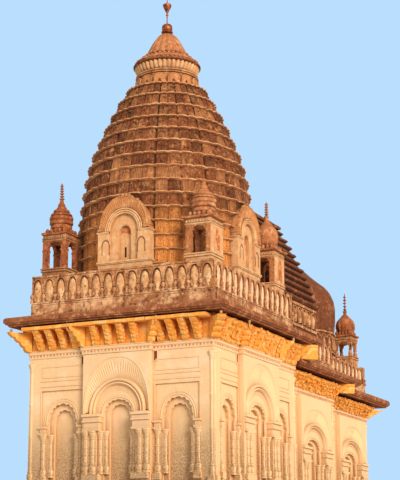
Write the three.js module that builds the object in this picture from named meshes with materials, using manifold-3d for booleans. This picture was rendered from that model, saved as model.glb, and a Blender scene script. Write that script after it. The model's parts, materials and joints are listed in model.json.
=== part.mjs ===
// A north Indian temple of brick and lime plaster: a sanctum under a banded tower,
// a middle hall under a stepped pyramid roof and a front hall under a ribbed dome.
// Millimetres, +Z up. +Y runs along the axis to the entrance, -Y is the rear face.

import * as THREE from 'three';
import { mergeVertices } from 'three/addons/utils/BufferGeometryUtils.js';
import Module from 'manifold-3d';

const wasm = await Module();
wasm.setup();

// Driving dimensions

const GAP = 0.3;                 // joint left between pieces that touch
const FLOOR = 900;               // top of the plinth
const WALL = 900;                // wall thickness
const EAVE_REACH = 890;          // overhang of the stone eave slabs at the sides and rear
const EAVE_THICKNESS = 300;
const BRACKET_REACH = 740;       // how far the brackets carry the eave
const PLATE_REACH = 1200;        // upright plates under the forward corners of an eave
const PLATE_HALF = 120;
const PLATE_CLEAR = 1050;        // room left in a lower eave for such a plate
const PARAPET_BASE = 800;
const PARAPET_THICKNESS = 250;
const MERLON_PITCH = 570;
const FRONT_SETBACK = 60;        // keeps the foot of a front parapet on its slab
const CORNER_CLEAR = 220;        // room left beside a corner plate
const CORNER_TRIM = 260;         // a bracket course ends short of the one round the corner

// The three sections along the axis: half width, start, end, the heights of the dentil band
// and of the underside of the eave, the overhang of the eave at the front, and the height
// of the parapet.
const SANCTUM = {
  name: 'sanctum', half: 4250, start: 0, end: 8700,
  dentil: 7500, eave: 8740, overhang: 1600, parapet: 1910,
};
const MANDAPA = {
  name: 'mandapa', half: 3750, start: 8700, end: 15100,
  dentil: 6780, eave: 7760, overhang: 2100, parapet: 1540,
};
const HALL = {
  name: 'hall', half: 3250, start: 15100, end: 21600,
  dentil: 6530, eave: 7380, overhang: 1600, parapet: 1720,
};

const BAY_PROJECTION = 240;      // the centre bay of each face projects
const DOOR_BAY_HALF = 1550;
const NICHE_FOOT = 1900;
const NICHE_STEPS = [170, 340];  // depths of the outer and the inner niche arch
const HOOD_DEPTH = 200;          // depth of the splayed hood over a centre bay

// Centre bays: half width of the projection, distance from the middle of the face, height
// of the imposts, half width and height of the hood above them, half width of the opening.
const REAR_BAY = { block: 1550, shift: 0, impost: 4950, half: 1480, rise: 2220, jamb: 900 };
const SANCTUM_BAY = { block: 1950, shift: 0, impost: 4950, half: 1830, rise: 2220, jamb: 1120 };
const MANDAPA_BAY = { block: 2000, shift: 300, impost: 4350, half: 1880, rise: 1750, jamb: 1150 };
const HALL_BAY = { block: 2000, shift: 450, impost: 4250, half: 1880, rise: 1700, jamb: 1150 };

// Side bays of the sanctum: sunk panels, and the niches in them.
const SIDE_BAY = { panelTop: 6040, panelDepth: 50, half: 700, spring: 4600, rise: 900 };
const REAR_SIDE_BAYS = { centre: 2650, panelHalf: 1000 };
const FLANK_SIDE_BAYS = { centre: 2850, panelHalf: 850 };

const TOWER_SIDES = 28;
const LEDGE_PITCH = 620;
const LEDGE_REACH = 110;
const LEDGE_THICKNESS = 90;
const TOWER_TOP = 19890;         // highest ledge, under the neck
const TOWER_SHELL = 900;

const ROOF_HALF = 3000;          // base block of the pyramid roof
const ROOF_BASE_TOP = 11400;
const ROOF_TOP = 15400;
const ROOF_TOP_HALF = 1740;
const ROOF_FOOT_HALF = 3170;
const ROOF_BULGE = 1.25;         // over 1 the slope of the tiers is hollow at the top
const ROOF_TIERS = 11;
const ARCADE_FOOT = 10400;       // row of small niches round the base block
const ARCADE_TOP = 11250;
const ARCADE_PITCH = 600;

const DOME_RADIUS = 2670;
const DOME_SPRING = 10900;
const DOME_TOP = 14900;
const DOME_SIDES = 28;
const DRUM_RADIUS = 2620;
const DRUM_SHELL = 470;
const DRUM_SIDES = 16;

const CHHATRI_HALF = 570;        // roof kiosks at the sanctum corners
const CHHATRI_OFFSET = 3410;
const SMALL_CHHATRI_HALF = 480;  // kiosks at the front corners of the hall
const SMALL_CHHATRI_OFFSET = 2500;

const AEDICULE_HALF = 1290;
const AEDICULE_SHOULDER = 12640;
const AEDICULE_DEPTH = 480;      // let into the foot of the tower
const DOOR_HALF = 950;
const DOOR_SPRING = 3100;
const STEP_RISE = 180;
const STEP_TREAD = 320;
const STEPS_HALF = 1600;

const MASONRY = { roughness: 0.93, metalness: 0 };
const PLASTER = new THREE.MeshStandardMaterial({ color: 0xf2cf9c, ...MASONRY });
const OCHRE = new THREE.MeshStandardMaterial({ color: 0xe8a551, ...MASONRY });
const SLAB = new THREE.MeshStandardMaterial({ color: 0x7a4a30, ...MASONRY });
const WEATHERED = new THREE.MeshStandardMaterial({ color: 0xc08a5a, ...MASONRY });
const TOWER_STUCCO = new THREE.MeshStandardMaterial({ color: 0xa5694a, ...MASONRY });
const DARK_STUCCO = new THREE.MeshStandardMaterial({ color: 0x784426, ...MASONRY });
const COPPER = new THREE.MeshStandardMaterial({ color: 0xb5602f, roughness: 0.5, metalness: 0.6 });

const temple = new THREE.Group();

// Solids

function toSolid(geometry) {
  const bare = geometry.clone();
  bare.deleteAttribute('normal');
  bare.deleteAttribute('uv');
  const merged = mergeVertices(bare, 0.01);
  return new wasm.Manifold(new wasm.Mesh({
    numProp: 3,
    vertProperties: new Float32Array(merged.attributes.position.array),
    triVerts: new Uint32Array(merged.index.array),
  }));
}

function toGeometry(solid) {
  const mesh = solid.getMesh();
  const geometry = new THREE.BufferGeometry();
  geometry.setAttribute('position', new THREE.BufferAttribute(mesh.vertProperties, 3));
  geometry.setIndex(new THREE.BufferAttribute(mesh.triVerts, 1));
  geometry.computeVertexNormals();
  return geometry;
}

function join(pieces) {
  return pieces.reduce((whole, piece) => whole.add(piece));
}

function box(x0, x1, y0, y1, z0, z1) {
  const geometry = new THREE.BoxGeometry(x1 - x0, y1 - y0, z1 - z0);
  geometry.translate((x0 + x1) / 2, (y0 + y1) / 2, (z0 + z1) / 2);
  return toSolid(geometry);
}

function extrude(points, depth) {
  const shape = new THREE.Shape(points.map(([a, b]) => new THREE.Vector2(a, b)));
  return new THREE.ExtrudeGeometry(shape, { depth, bevelEnabled: false });
}

// A plan outline of [x, y] points, raised from z0 to z1.
function plan(points, z0, z1) {
  return toSolid(extrude(points, z1 - z0).translate(0, 0, z0));
}

// A front elevation of [x, z] points, with its face at y0 and its back at y1.
function elevation(points, y0, y1) {
  const geometry = extrude(points, y1 - y0);
  geometry.rotateX(Math.PI / 2);
  geometry.translate(0, y1, 0);
  return toSolid(geometry);
}

// A profile of [outward, z] points, swept from x0 to x1. Outward is -Y.
function profile(points, x0, x1) {
  const geometry = extrude(points.map(([out, z]) => [-out, z]), x1 - x0);
  const frame = new THREE.Matrix4().makeBasis(
    new THREE.Vector3(0, 1, 0),
    new THREE.Vector3(0, 0, 1),
    new THREE.Vector3(1, 0, 0),
  );
  geometry.applyMatrix4(frame);
  geometry.translate(x0, 0, 0);
  return toSolid(geometry);
}

// A turned form of [radius, z] points, from the axis back to the axis.
function turned(points, sides, x = 0, y = 0) {
  const geometry = new THREE.LatheGeometry(points.map(([r, z]) => new THREE.Vector2(r, z)), sides);
  geometry.rotateX(Math.PI / 2);
  geometry.translate(x, y, 0);
  const solid = toSolid(geometry);
  return solid.volume() < 0 ? toSolid(flip(geometry)) : solid;
}

function flip(geometry) {
  const flipped = geometry.clone();
  const index = Array.from(flipped.index.array);
  for (let i = 0; i < index.length; i += 3) {
    [index[i], index[i + 1]] = [index[i + 1], index[i]];
  }
  flipped.setIndex(index);
  return flipped;
}

// Adds a piece. One built facing -Y at the origin is turned to its own side.
function place(name, solid, material, { x = 0, y = 0, turn = 0 } = {}) {
  const mesh = new THREE.Mesh(toGeometry(solid), material);
  mesh.name = name;
  mesh.position.set(x, y, 0);
  mesh.rotation.z = turn;
  temple.add(mesh);
}

const FACING = {
  rear: (section) => ({ y: section.start, turn: 0 }),
  front: (section) => ({ y: section.end, turn: Math.PI }),
  right: (section) => ({ x: section.half, y: (section.start + section.end) / 2, turn: Math.PI / 2 }),
  left: (section) => ({ x: -section.half, y: (section.start + section.end) / 2, turn: -Math.PI / 2 }),
};

// On the right side the front end of a face lies at local +x, and on the left at -x.
const FRONT_END = { right: 1, left: -1 };

// Outlines

// A pointed arch with a straight lower part, from z0 up to its point.
function archOutline(centre, halfWidth, z0, spring, top, steps = 6) {
  const points = [[centre - halfWidth, z0], [centre + halfWidth, z0]];
  for (let i = 0; i <= steps; i += 1) {
    const t = i / steps;
    points.push([
      centre + halfWidth * Math.cos(t * Math.PI / 2) ** 0.8,
      spring + (top - spring) * Math.sin(t * Math.PI / 2),
    ]);
  }
  for (let i = steps - 1; i >= 0; i -= 1) {
    const t = i / steps;
    points.push([
      centre - halfWidth * Math.cos(t * Math.PI / 2) ** 0.8,
      spring + (top - spring) * Math.sin(t * Math.PI / 2),
    ]);
  }
  return points;
}

// Walls

// One blind niche, sunk in two steps: the inner arch is smaller and deeper.
function blindNiche(centre, half, spring, rise, face) {
  const [outerDepth, innerDepth] = NICHE_STEPS;
  return join([
    elevation(archOutline(centre, half, NICHE_FOOT, spring, spring + rise), face - 10, face + outerDepth),
    elevation(
      archOutline(centre, half * 0.72, NICHE_FOOT, spring - 100, spring + rise * 0.72),
      face + outerDepth - 10,
      face + innerDepth,
    ),
  ]);
}

// The sunk panel of a side bay with its niche.
function sideBayRecess(centre, panelHalf) {
  const { panelTop, panelDepth, half, spring, rise } = SIDE_BAY;
  return box(centre - panelHalf, centre + panelHalf, -10, panelDepth, NICHE_FOOT - 100, panelTop)
    .add(blindNiche(centre, half, spring, rise, panelDepth));
}

// The hood of a centre bay, the space between its jambs and the niche behind.
function centreBayRecess({ impost, half, rise, jamb }, centre) {
  const face = -BAY_PROJECTION;
  const back = face + HOOD_DEPTH;
  return join([
    elevation(archOutline(centre, half, impost, impost + 10, impost + rise), face - 10, back),
    box(centre - jamb, centre + jamb, face - 10, back, NICHE_FOOT - 100, impost + 20),
    blindNiche(centre, jamb * 0.76, impost - 100, rise * 0.3, back),
  ]);
}

// A straight wall with its outer face at y = 0, mitred at the ends that turn a corner.
function wall(width, section, { mitreLeft, mitreRight, bay, bayCentre, sideBays }) {
  const half = width / 2;
  const outline = [
    [-half, 0],
    [half, 0],
    [half - (mitreRight ? WALL : 0), WALL],
    [-half + (mitreLeft ? WALL : 0), WALL],
  ];
  let solid = plan(outline, FLOOR + GAP, section.eave - GAP)
    .add(bayBlock(section, bayCentre, bay ? bay.block : DOOR_BAY_HALF));
  if (sideBays) {
    solid = solid
      .subtract(sideBayRecess(-sideBays.centre, sideBays.panelHalf))
      .subtract(sideBayRecess(sideBays.centre, sideBays.panelHalf));
  }
  return bay ? solid.subtract(centreBayRecess(bay, bayCentre)) : solid;
}

function bayBlock(section, centre, half) {
  return box(centre - half, centre + half, -BAY_PROJECTION, 100, FLOOR + GAP, section.dentil - 120);
}

// A side wall stops below the dentil band at its front end, where a beam rests on it.
function sideWall(section, facing, { mitreRear, mitreFront, bay, sideBays }) {
  const width = section.end - section.start - 2 * GAP;
  const frontEnd = FRONT_END[facing];
  const solid = wall(width, section, {
    mitreLeft: frontEnd > 0 ? mitreRear : mitreFront,
    mitreRight: frontEnd > 0 ? mitreFront : mitreRear,
    bay,
    bayCentre: frontEnd * bay.shift,
    sideBays,
  });
  if (mitreFront) {
    return solid;
  }
  const inner = frontEnd * (width / 2 - WALL - GAP);
  const outer = frontEnd * (width / 2 + 10);
  return solid.subtract(box(
    Math.min(inner, outer),
    Math.max(inner, outer),
    -10,
    WALL + 10,
    section.dentil - 90,
    section.eave + 10,
  ));
}

function frontBeam(section) {
  return box(
    -section.half,
    section.half,
    section.end - WALL,
    section.end - GAP,
    section.dentil - 90 + GAP,
    section.eave - GAP,
  );
}

// Brackets

// Scrolled bracket: outward reach and height, both as shares of the full bracket.
const SCROLL = [
  [0, 0], [0.16, 0.03], [0.22, 0.3], [0.42, 0.38], [0.5, 0.62], [0.86, 0.76], [1, 1], [0, 1],
];

function bracket(centre, width, z0, z1, reach) {
  const points = SCROLL.map(([out, up]) => [Math.max(out * reach, 30), z0 + up * (z1 - z0)]);
  return profile(points, centre - width / 2, centre + width / 2);
}

// A plate set across a corner at 45 degrees, with the given outline of [outward, z] points.
function cornerPlate(x, points) {
  const turn = (x > 0 ? 1 : -1) * 45;
  return profile(points, -PLATE_HALF, PLATE_HALF).rotate([0, 0, turn]).translate([x, 0, 0]);
}

function scrolledPlate(x, z0, z1) {
  return cornerPlate(x, SCROLL.map(([out, up]) => [
    out === 0 ? -60 : out * BRACKET_REACH * 1.12,
    z0 + up * (z1 - z0),
  ]));
}

// A plain upright plate, under an eave that reaches far forward.
function uprightPlate(x, z0, z1) {
  return cornerPlate(x, [[-60, z0], [PLATE_REACH, z0], [PLATE_REACH, z1], [-60, z1]]);
}

// The course under the eave of one face: dentil band, backing and brackets.
function bracketCourse(width, section, {
  trimLeft = 0, trimRight = 0, clearLeft = 0, clearRight = 0, scrolled = [], upright = [], plateFoot = 0,
}) {
  const left = -width / 2 + trimLeft;
  const right = width / 2 - trimRight;
  const z0 = section.dentil + 90;
  const z1 = section.eave - GAP;
  const pieces = [
    box(left, right, -70, -GAP, section.dentil - 90, z0),
    box(left, right, -110, -GAP, z0 - 1, z1),
  ];
  const first = left + 260 + clearLeft;
  const last = right - 260 - clearRight;
  const count = Math.round((last - first) / 600);
  for (let i = 0; i <= count; i += 1) {
    pieces.push(bracket(first + (last - first) * i / count, 210, z0 + 20, z1, BRACKET_REACH));
  }
  for (const x of scrolled) {
    pieces.push(scrolledPlate(x, z0 + 20, z1));
  }
  for (const x of upright) {
    pieces.push(uprightPlate(x, plateFoot, z1));
  }
  const behind = box(-width / 2 - GAP, width / 2 + GAP, -GAP, 2 * WALL, 0, 2 * z1);
  return join(pieces).subtract(behind);
}

// Eaves

// One slab roofs a section and overhangs it. At the front it only wraps the corners. Where
// a plate of the taller section behind hangs beside it, its overhang starts clear of that.
function eaveSlab(section, next, rear, clear) {
  const reach = section.half + EAVE_REACH;
  const front = section.end + section.overhang;
  const right = [];
  if (clear > 0) {
    right.push([section.half - 20, rear], [section.half - 20, rear + clear]);
  }
  right.push([reach, rear + clear], [reach, front]);
  if (next) {
    const inner = next.half + 200;
    right.push([inner, front], [inner, section.end]);
  }
  const left = right.map(([x, y]) => [-x, y]).reverse();
  return plan([...right, ...left], section.eave, section.eave + EAVE_THICKNESS - GAP);
}

// Parapets

// A low base with a row of round-headed merlons on it.
function parapet(width, floor, height, inset = 0) {
  const half = width / 2 - inset;
  const base = floor + PARAPET_BASE;
  const top = floor + height;
  const count = Math.round(2 * half / MERLON_PITCH);
  const pitch = 2 * half / count;
  const points = [[-half, base - 10], [half, base - 10]];
  for (let i = 0; i < count; i += 1) {
    const centre = half - pitch * (i + 0.5);
    for (const [side, drop] of [[0.5, 230], [0.3, 60], [-0.3, 60]]) {
      points.push([centre + side * pitch, top - drop]);
    }
  }
  points.push([-half, top - 230]);
  return join([
    box(-half, half, -50, PARAPET_THICKNESS, floor, base),
    elevation(points, 10, PARAPET_THICKNESS - 30),
  ]);
}

// Tower

// Outline of the tower without its ledges: [height, radius].
const TOWER_CURVE = [
  [9040, 3860], [11900, 3860], [13000, 3840], [14350, 3700], [15600, 3530],
  [16200, 3380], [16900, 3170], [17700, 2830], [18300, 2570], [19050, 2220], [19600, 1890],
  [20100, 1580],
];
const TOWER_HOLLOW_TOP = 18600;

function towerRadius(z) {
  for (let i = 1; i < TOWER_CURVE.length; i += 1) {
    const [z0, r0] = TOWER_CURVE[i - 1];
    const [z1, r1] = TOWER_CURVE[i];
    if (z <= z1) {
      return r0 + (r1 - r0) * (z - z0) / (z1 - z0);
    }
  }
  return TOWER_CURVE[TOWER_CURVE.length - 1][1];
}

const TOWER_CENTRE = (SANCTUM.start + SANCTUM.end) / 2;
const TOWER_FLOOR = SANCTUM.eave + EAVE_THICKNESS;
const TOWER_LEDGES = [];
for (let z = TOWER_TOP; z > TOWER_FLOOR + LEDGE_PITCH; z -= LEDGE_PITCH) {
  TOWER_LEDGES.unshift(z);
}

// The full outer form, grown by a margin: used to cut the pieces that lean on it.
function towerEnvelope(margin) {
  const foot = TOWER_FLOOR - 100;
  const points = [[0, foot], [towerRadius(TOWER_FLOOR) + LEDGE_REACH + margin, foot]];
  for (const [z, r] of TOWER_CURVE) {
    points.push([r + LEDGE_REACH + margin, z]);
  }
  points.push([0, TOWER_CURVE[TOWER_CURVE.length - 1][0]]);
  return turned(points, TOWER_SIDES, 0, TOWER_CENTRE);
}

function tower() {
  const points = [[0, TOWER_FLOOR], [towerRadius(TOWER_FLOOR), TOWER_FLOOR]];
  for (const z of TOWER_LEDGES) {
    const r = towerRadius(z);
    points.push(
      [towerRadius(z - LEDGE_THICKNESS), z - LEDGE_THICKNESS],
      [r + LEDGE_REACH, z - LEDGE_THICKNESS],
      [r + LEDGE_REACH, z],
    );
  }
  points.push([0, TOWER_TOP]);
  const hollow = [[0, TOWER_FLOOR - 10]];
  for (const [z, r] of TOWER_CURVE) {
    if (z < TOWER_HOLLOW_TOP) {
      hollow.push([r - TOWER_SHELL, z === TOWER_CURVE[0][0] ? TOWER_FLOOR - 10 : z]);
    }
  }
  hollow.push([0, TOWER_HOLLOW_TOP]);
  return turned(points, TOWER_SIDES, 0, TOWER_CENTRE)
    .subtract(turned(hollow, TOWER_SIDES / 2, 0, TOWER_CENTRE));
}

function towerNeck() {
  return turned([
    [0, TOWER_TOP + GAP], [1500, TOWER_TOP + GAP], [1360, 20400], [1400, 20640],
    [1230, 20700], [1230, 20800], [0, 20800],
  ], 24, 0, TOWER_CENTRE);
}

function amalaka() {
  return turned([
    [0, 20800 + GAP], [1250, 20800 + GAP], [1400, 21000], [1490, 21340], [1510, 21460],
    [1340, 21640], [0, 21640],
  ], 24, 0, TOWER_CENTRE);
}

function bellCap() {
  return turned([
    [0, 21640 + GAP], [1300, 21640 + GAP], [1180, 21800], [760, 22100], [480, 22400],
    [310, 22690], [110, 22810], [0, 22810],
  ], 20, 0, TOWER_CENTRE);
}

function towerFinial() {
  return turned([
    [0, 22810 + GAP], [120, 22810 + GAP], [260, 22900], [190, 22960], [250, 23060], [250, 23200],
    [190, 23290], [40, 23300], [40, 23760], [210, 24080], [150, 24290], [35, 24320],
    [25, 25000], [0, 25000],
  ], 10, 0, TOWER_CENTRE);
}

// Aedicules

const TOWER_FACES = ['rear', 'front', 'left', 'right'];

// Outline of a niche front with a bangla hood, grown by a margin.
function aediculeOutline(margin) {
  const half = AEDICULE_HALF + margin;
  const foot = TOWER_FLOOR + GAP - margin;
  const crown = 14160 + margin;
  const cornice = AEDICULE_SHOULDER - 100 - margin;
  const side = [[half, foot], [half, cornice], [half + 50, cornice], [half + 50, AEDICULE_SHOULDER + margin]];
  const hood = [];
  const steps = 12;
  for (let i = 0; i <= steps; i += 1) {
    const angle = Math.PI * i / steps;
    hood.push([
      (1220 + margin) * Math.cos(angle),
      AEDICULE_SHOULDER + 60 + (1500 + margin) * Math.sin(angle),
    ]);
  }
  hood.splice(6, 1, [180, crown], [0, 14500 + margin], [-180, crown]);
  return [...side, ...hood, ...side.map(([x, z]) => [-x, z]).reverse()];
}

// Built facing -Y with its face at y = 0.
function aedicule() {
  return elevation(aediculeOutline(0), 0, AEDICULE_DEPTH)
    .subtract(elevation(archOutline(0, 650, 11350, AEDICULE_SHOULDER, 13360), -10, 120))
    .subtract(elevation(archOutline(0, 290, 11420, 12480, 12860, 4), -10, 260));
}

// Moves a form built facing -Y at the origin to the foot of the tower.
function atTowerFoot(solid, facing) {
  const reach = facing === 'rear' || facing === 'front' ? TOWER_CENTRE : SANCTUM.half;
  const setBack = facing === 'front' ? FRONT_SETBACK : 0;
  const face = reach - PARAPET_THICKNESS - setBack - 20;
  return solid
    .translate([0, -face, 0])
    .rotate([0, 0, FACING[facing](SANCTUM).turn * 180 / Math.PI])
    .translate([0, TOWER_CENTRE, 0]);
}

// The tower with the pockets that its aedicules stand in.
function pocketedTower() {
  let solid = tower();
  for (const facing of TOWER_FACES) {
    const pocket = elevation(aediculeOutline(GAP), -1000, AEDICULE_DEPTH + GAP);
    solid = solid.subtract(atTowerFoot(pocket, facing));
  }
  return solid;
}

// Kiosks

// A square kiosk: pedestal, open pavilion with an arch in each face, eave and bulb.
function chhatri({ half, floor, sill, eave, eaveReach, bulbRadius, bulbTop, tip, pier }) {
  const archHalf = half - pier;
  const spring = sill + (eave - sill) * 0.55;
  const arch = archOutline(0, archHalf, sill, spring, eave - 160, 4);
  const along = elevation(arch, -half - 10, half + 10);
  const pavilion = box(-half, half, -half, half, floor, eave + 10)
    .subtract(along)
    .subtract(along.rotate([0, 0, 90]));
  const out = half + eaveReach;
  const rise = bulbTop - eave - 130;
  const bulb = [[0, eave + 100], [half * 0.85, eave + 100], [half * 0.85, eave + 130 + rise * 0.1]];
  for (const [share, up] of [[1, 0.25], [1, 0.42], [0.82, 0.6], [0.36, 0.86]]) {
    bulb.push([bulbRadius * share, eave + 130 + rise * up]);
  }
  bulb.push([70, bulbTop]);
  if (tip > bulbTop + 100) {
    bulb.push([110, bulbTop + 80], [50, bulbTop + 300]);
  }
  bulb.push([20, tip], [0, tip]);
  return join([
    pavilion,
    box(-out, out, -out, out, eave, eave + 120),
    turned(bulb, 10),
  ]);
}

const BIG_CHHATRI = {
  half: CHHATRI_HALF,
  floor: TOWER_FLOOR + GAP,
  sill: 11350,
  eave: 12840,
  eaveReach: 140,
  bulbRadius: 510,
  bulbTop: 14500,
  tip: 15250,
  pier: 230,
};

const SMALL_CHHATRI = {
  half: SMALL_CHHATRI_HALF,
  floor: HALL.eave + EAVE_THICKNESS + GAP,
  sill: 9930,
  eave: 11000,
  eaveReach: 80,
  bulbRadius: 500,
  bulbTop: 12360,
  tip: 13400,
  pier: 110,
};

// Middle hall roof

const MANDAPA_CENTRE = (MANDAPA.start + MANDAPA.end) / 2;

function roofBase() {
  const floor = MANDAPA.eave + EAVE_THICKNESS + GAP;
  const inner = ROOF_HALF - 500;
  const count = Math.floor(2 * ROOF_HALF / ARCADE_PITCH);
  let solid = box(-ROOF_HALF, ROOF_HALF, -ROOF_HALF, ROOF_HALF, floor, ROOF_BASE_TOP - GAP)
    .subtract(box(-inner, inner, -inner, inner, floor - 10, ROOF_BASE_TOP - 400));
  for (let i = 0; i < count; i += 1) {
    const centre = (i - (count - 1) / 2) * ARCADE_PITCH;
    const niche = elevation(
      archOutline(centre, ARCADE_PITCH * 0.36, ARCADE_FOOT, ARCADE_TOP - 300, ARCADE_TOP, 3),
      -ROOF_HALF - 10,
      -ROOF_HALF + 90,
    );
    for (const turn of [0, 90, 180, 270]) {
      solid = solid.subtract(niche.rotate([0, 0, turn]));
    }
  }
  return solid.translate([0, MANDAPA_CENTRE, 0]);
}

function steppedRoof() {
  const pitch = (ROOF_TOP - ROOF_BASE_TOP) / ROOF_TIERS;
  const pieces = [];
  for (let i = 0; i < ROOF_TIERS; i += 1) {
    const share = (i / (ROOF_TIERS - 1)) ** ROOF_BULGE;
    const half = ROOF_FOOT_HALF + (ROOF_TOP_HALF + 90 - ROOF_FOOT_HALF) * share;
    const z = ROOF_BASE_TOP + pitch * i;
    pieces.push(box(-half, half, -half, half, z, z + 130));
    pieces.push(box(-half + 170, half - 170, -half + 170, half - 170, z + 120, z + pitch + 1));
  }
  const slab = ROOF_TOP_HALF;
  pieces.push(box(-slab, slab, -slab, slab, ROOF_TOP, ROOF_TOP + 200));
  pieces.push(turned([
    [0, ROOF_TOP + 190], [720, ROOF_TOP + 190], [760, ROOF_TOP + 420], [480, ROOF_TOP + 760],
    [150, ROOF_TOP + 980], [200, ROOF_TOP + 1100], [60, ROOF_TOP + 1260], [20, ROOF_TOP + 1700],
    [0, ROOF_TOP + 1700],
  ], 16));
  const hollow = box(-1500, 1500, -1500, 1500, ROOF_BASE_TOP - 10, ROOF_TOP - 900);
  return join(pieces).subtract(hollow).translate([0, MANDAPA_CENTRE, 0]);
}

// Front hall dome

const HALL_CENTRE = (HALL.start + HALL.end) / 2;
const HALL_ROOF = HALL.eave + EAVE_THICKNESS;

function cylinder(radius, z0, z1, sides) {
  return turned([[0, z0], [radius, z0], [radius, z1], [0, z1]], sides);
}

function domeDrum() {
  return cylinder(DRUM_RADIUS, HALL_ROOF + GAP, DOME_SPRING - GAP, DRUM_SIDES)
    .subtract(cylinder(DRUM_RADIUS - DRUM_SHELL, HALL_ROOF - 10, DOME_SPRING + 10, DRUM_SIDES))
    .translate([0, HALL_CENTRE, 0]);
}

// Dome outline as shares of its radius and height.
const DOME_CURVE = [[0.975, 0], [1, 0.18], [1, 0.35], [0.975, 0.44], [0.91, 0.54], [0.83, 0.61],
  [0.67, 0.69], [0.44, 0.83], [0.24, 0.93], [0.1, 1]];

function dome() {
  const rise = DOME_TOP - DOME_SPRING;
  const outer = [[0, DOME_SPRING]];
  const inner = [[0, DOME_SPRING - 10]];
  for (const [r, up] of DOME_CURVE) {
    outer.push([DOME_RADIUS * r, DOME_SPRING + rise * up]);
    if (up < 0.9) {
      inner.push([DOME_RADIUS * r - 380, DOME_SPRING - 10 + (rise - 300) * up]);
    }
  }
  outer.push([360, DOME_TOP + 120], [150, DOME_TOP + 330], [220, DOME_TOP + 480], [70, DOME_TOP + 640],
    [20, DOME_TOP + 1200], [0, DOME_TOP + 1200]);
  inner.push([0, DOME_TOP - 700]);
  return turned(outer, DOME_SIDES)
    .subtract(turned(inner, DOME_SIDES / 2))
    .translate([0, HALL_CENTRE, 0]);
}

// Plinth and steps

function footprint(offset) {
  const right = [];
  for (const section of [SANCTUM, MANDAPA, HALL]) {
    const start = section === SANCTUM ? section.start - offset : section.start + offset;
    right.push([section.half + offset, start], [section.half + offset, section.end + offset]);
  }
  return [...right, ...right.map(([x, y]) => [-x, y]).reverse()];
}

function plinth() {
  return join([
    plan(footprint(350), 0, 300),
    plan(footprint(200), 299, 640),
    plan(footprint(90), 639, FLOOR),
  ]);
}

const STEPS_START = HALL.end + 350 + GAP;
const STEPS = FLOOR / STEP_RISE - 1;

function entranceSteps() {
  const pieces = [];
  for (let i = 0; i < STEPS; i += 1) {
    const end = STEPS_START + STEP_TREAD * (STEPS - i);
    pieces.push(box(-STEPS_HALF, STEPS_HALF, STEPS_START, end, 0, STEP_RISE * (i + 1)));
  }
  return join(pieces);
}

// Entrance front of the hall, in three pieces round the doorway

function frontWallPieces() {
  const solid = wall(2 * HALL.half, HALL, {
    mitreLeft: true, mitreRight: true, bay: null, bayCentre: 0, sideBays: null,
  });
  const doorway = elevation(
    archOutline(0, DOOR_HALF - 60, FLOOR - 10, DOOR_SPRING, DOOR_SPRING + 1100),
    -BAY_PROJECTION - 100,
    WALL + 10,
  );
  const far = 10000;
  const left = box(-far, -DOOR_HALF - GAP, -far, far, 0, far);
  const right = box(DOOR_HALF + GAP, far, -far, far, 0, far);
  const over = box(-DOOR_HALF, DOOR_HALF, -far, far, DOOR_SPRING, far);
  return {
    hall_front_wall_left: solid.intersect(right),
    hall_front_wall_right: solid.intersect(left),
    hall_front_wall_over_door: solid.intersect(over).subtract(doorway),
  };
}

// Assembly

place('plinth', plinth(), WEATHERED);
place('entrance_steps', entranceSteps(), WEATHERED);

const SIDES = ['left', 'right'];
const SECTIONS = [SANCTUM, MANDAPA, HALL];

// What each section needs at its corners: mitred wall ends, and room beside the brackets.
const CORNERS = {
  sanctum: {
    mitreRear: true, mitreFront: false, bay: SANCTUM_BAY, sideBays: FLANK_SIDE_BAYS,
    trimRear: CORNER_TRIM, clearRear: 0,
  },
  mandapa: {
    mitreRear: false, mitreFront: false, bay: MANDAPA_BAY, sideBays: null,
    trimRear: GAP, clearRear: 0,
  },
  hall: {
    mitreRear: false, mitreFront: true, bay: HALL_BAY, sideBays: null,
    trimRear: GAP, clearRear: PLATE_CLEAR,
  },
};

// Foot of the plate under the forward corner of an eave. The sanctum's plate stands over
// the lower eave, and the middle hall's hangs beside it.
const PLATE_FOOT = { sanctum: MANDAPA.eave + EAVE_THICKNESS + GAP, mandapa: 7300 };

place('sanctum_rear_wall', wall(2 * SANCTUM.half, SANCTUM, {
  mitreLeft: true, mitreRight: true, bay: REAR_BAY, bayCentre: 0, sideBays: REAR_SIDE_BAYS,
}), PLASTER, { y: -GAP });
for (const section of SECTIONS) {
  for (const side of SIDES) {
    place(`${section.name}_${side}_wall`, sideWall(section, side, CORNERS[section.name]), PLASTER,
      FACING[side](section));
  }
}
place('sanctum_front_beam', frontBeam(SANCTUM), PLASTER);
place('mandapa_front_beam', frontBeam(MANDAPA), PLASTER);
for (const [name, solid] of Object.entries(frontWallPieces())) {
  place(name, solid, PLASTER, { y: HALL.end + GAP, turn: Math.PI });
}

place('sanctum_rear_brackets', bracketCourse(2 * SANCTUM.half, SANCTUM, {
  clearLeft: CORNER_CLEAR, clearRight: CORNER_CLEAR, scrolled: [-SANCTUM.half, SANCTUM.half],
}), OCHRE, { y: -2 * GAP });
for (const section of SECTIONS) {
  const { trimRear, clearRear } = CORNERS[section.name];
  const width = section.end - section.start;
  for (const side of SIDES) {
    const front = FRONT_END[side];
    const corner = [front * width / 2];
    place(`${section.name}_${side}_brackets`, bracketCourse(width, section, {
      trimLeft: front > 0 ? trimRear : 0,
      trimRight: front > 0 ? 0 : trimRear,
      clearLeft: front > 0 ? clearRear : CORNER_CLEAR,
      clearRight: front > 0 ? CORNER_CLEAR : clearRear,
      scrolled: section === HALL ? corner : [],
      upright: section === HALL ? [] : corner,
      plateFoot: PLATE_FOOT[section.name],
    }), OCHRE, FACING[side](section));
  }
}
place('hall_front_brackets', bracketCourse(2 * HALL.half, HALL, {
  trimLeft: CORNER_TRIM, trimRight: CORNER_TRIM,
}), OCHRE, { y: HALL.end + 2 * GAP, turn: Math.PI });

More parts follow.
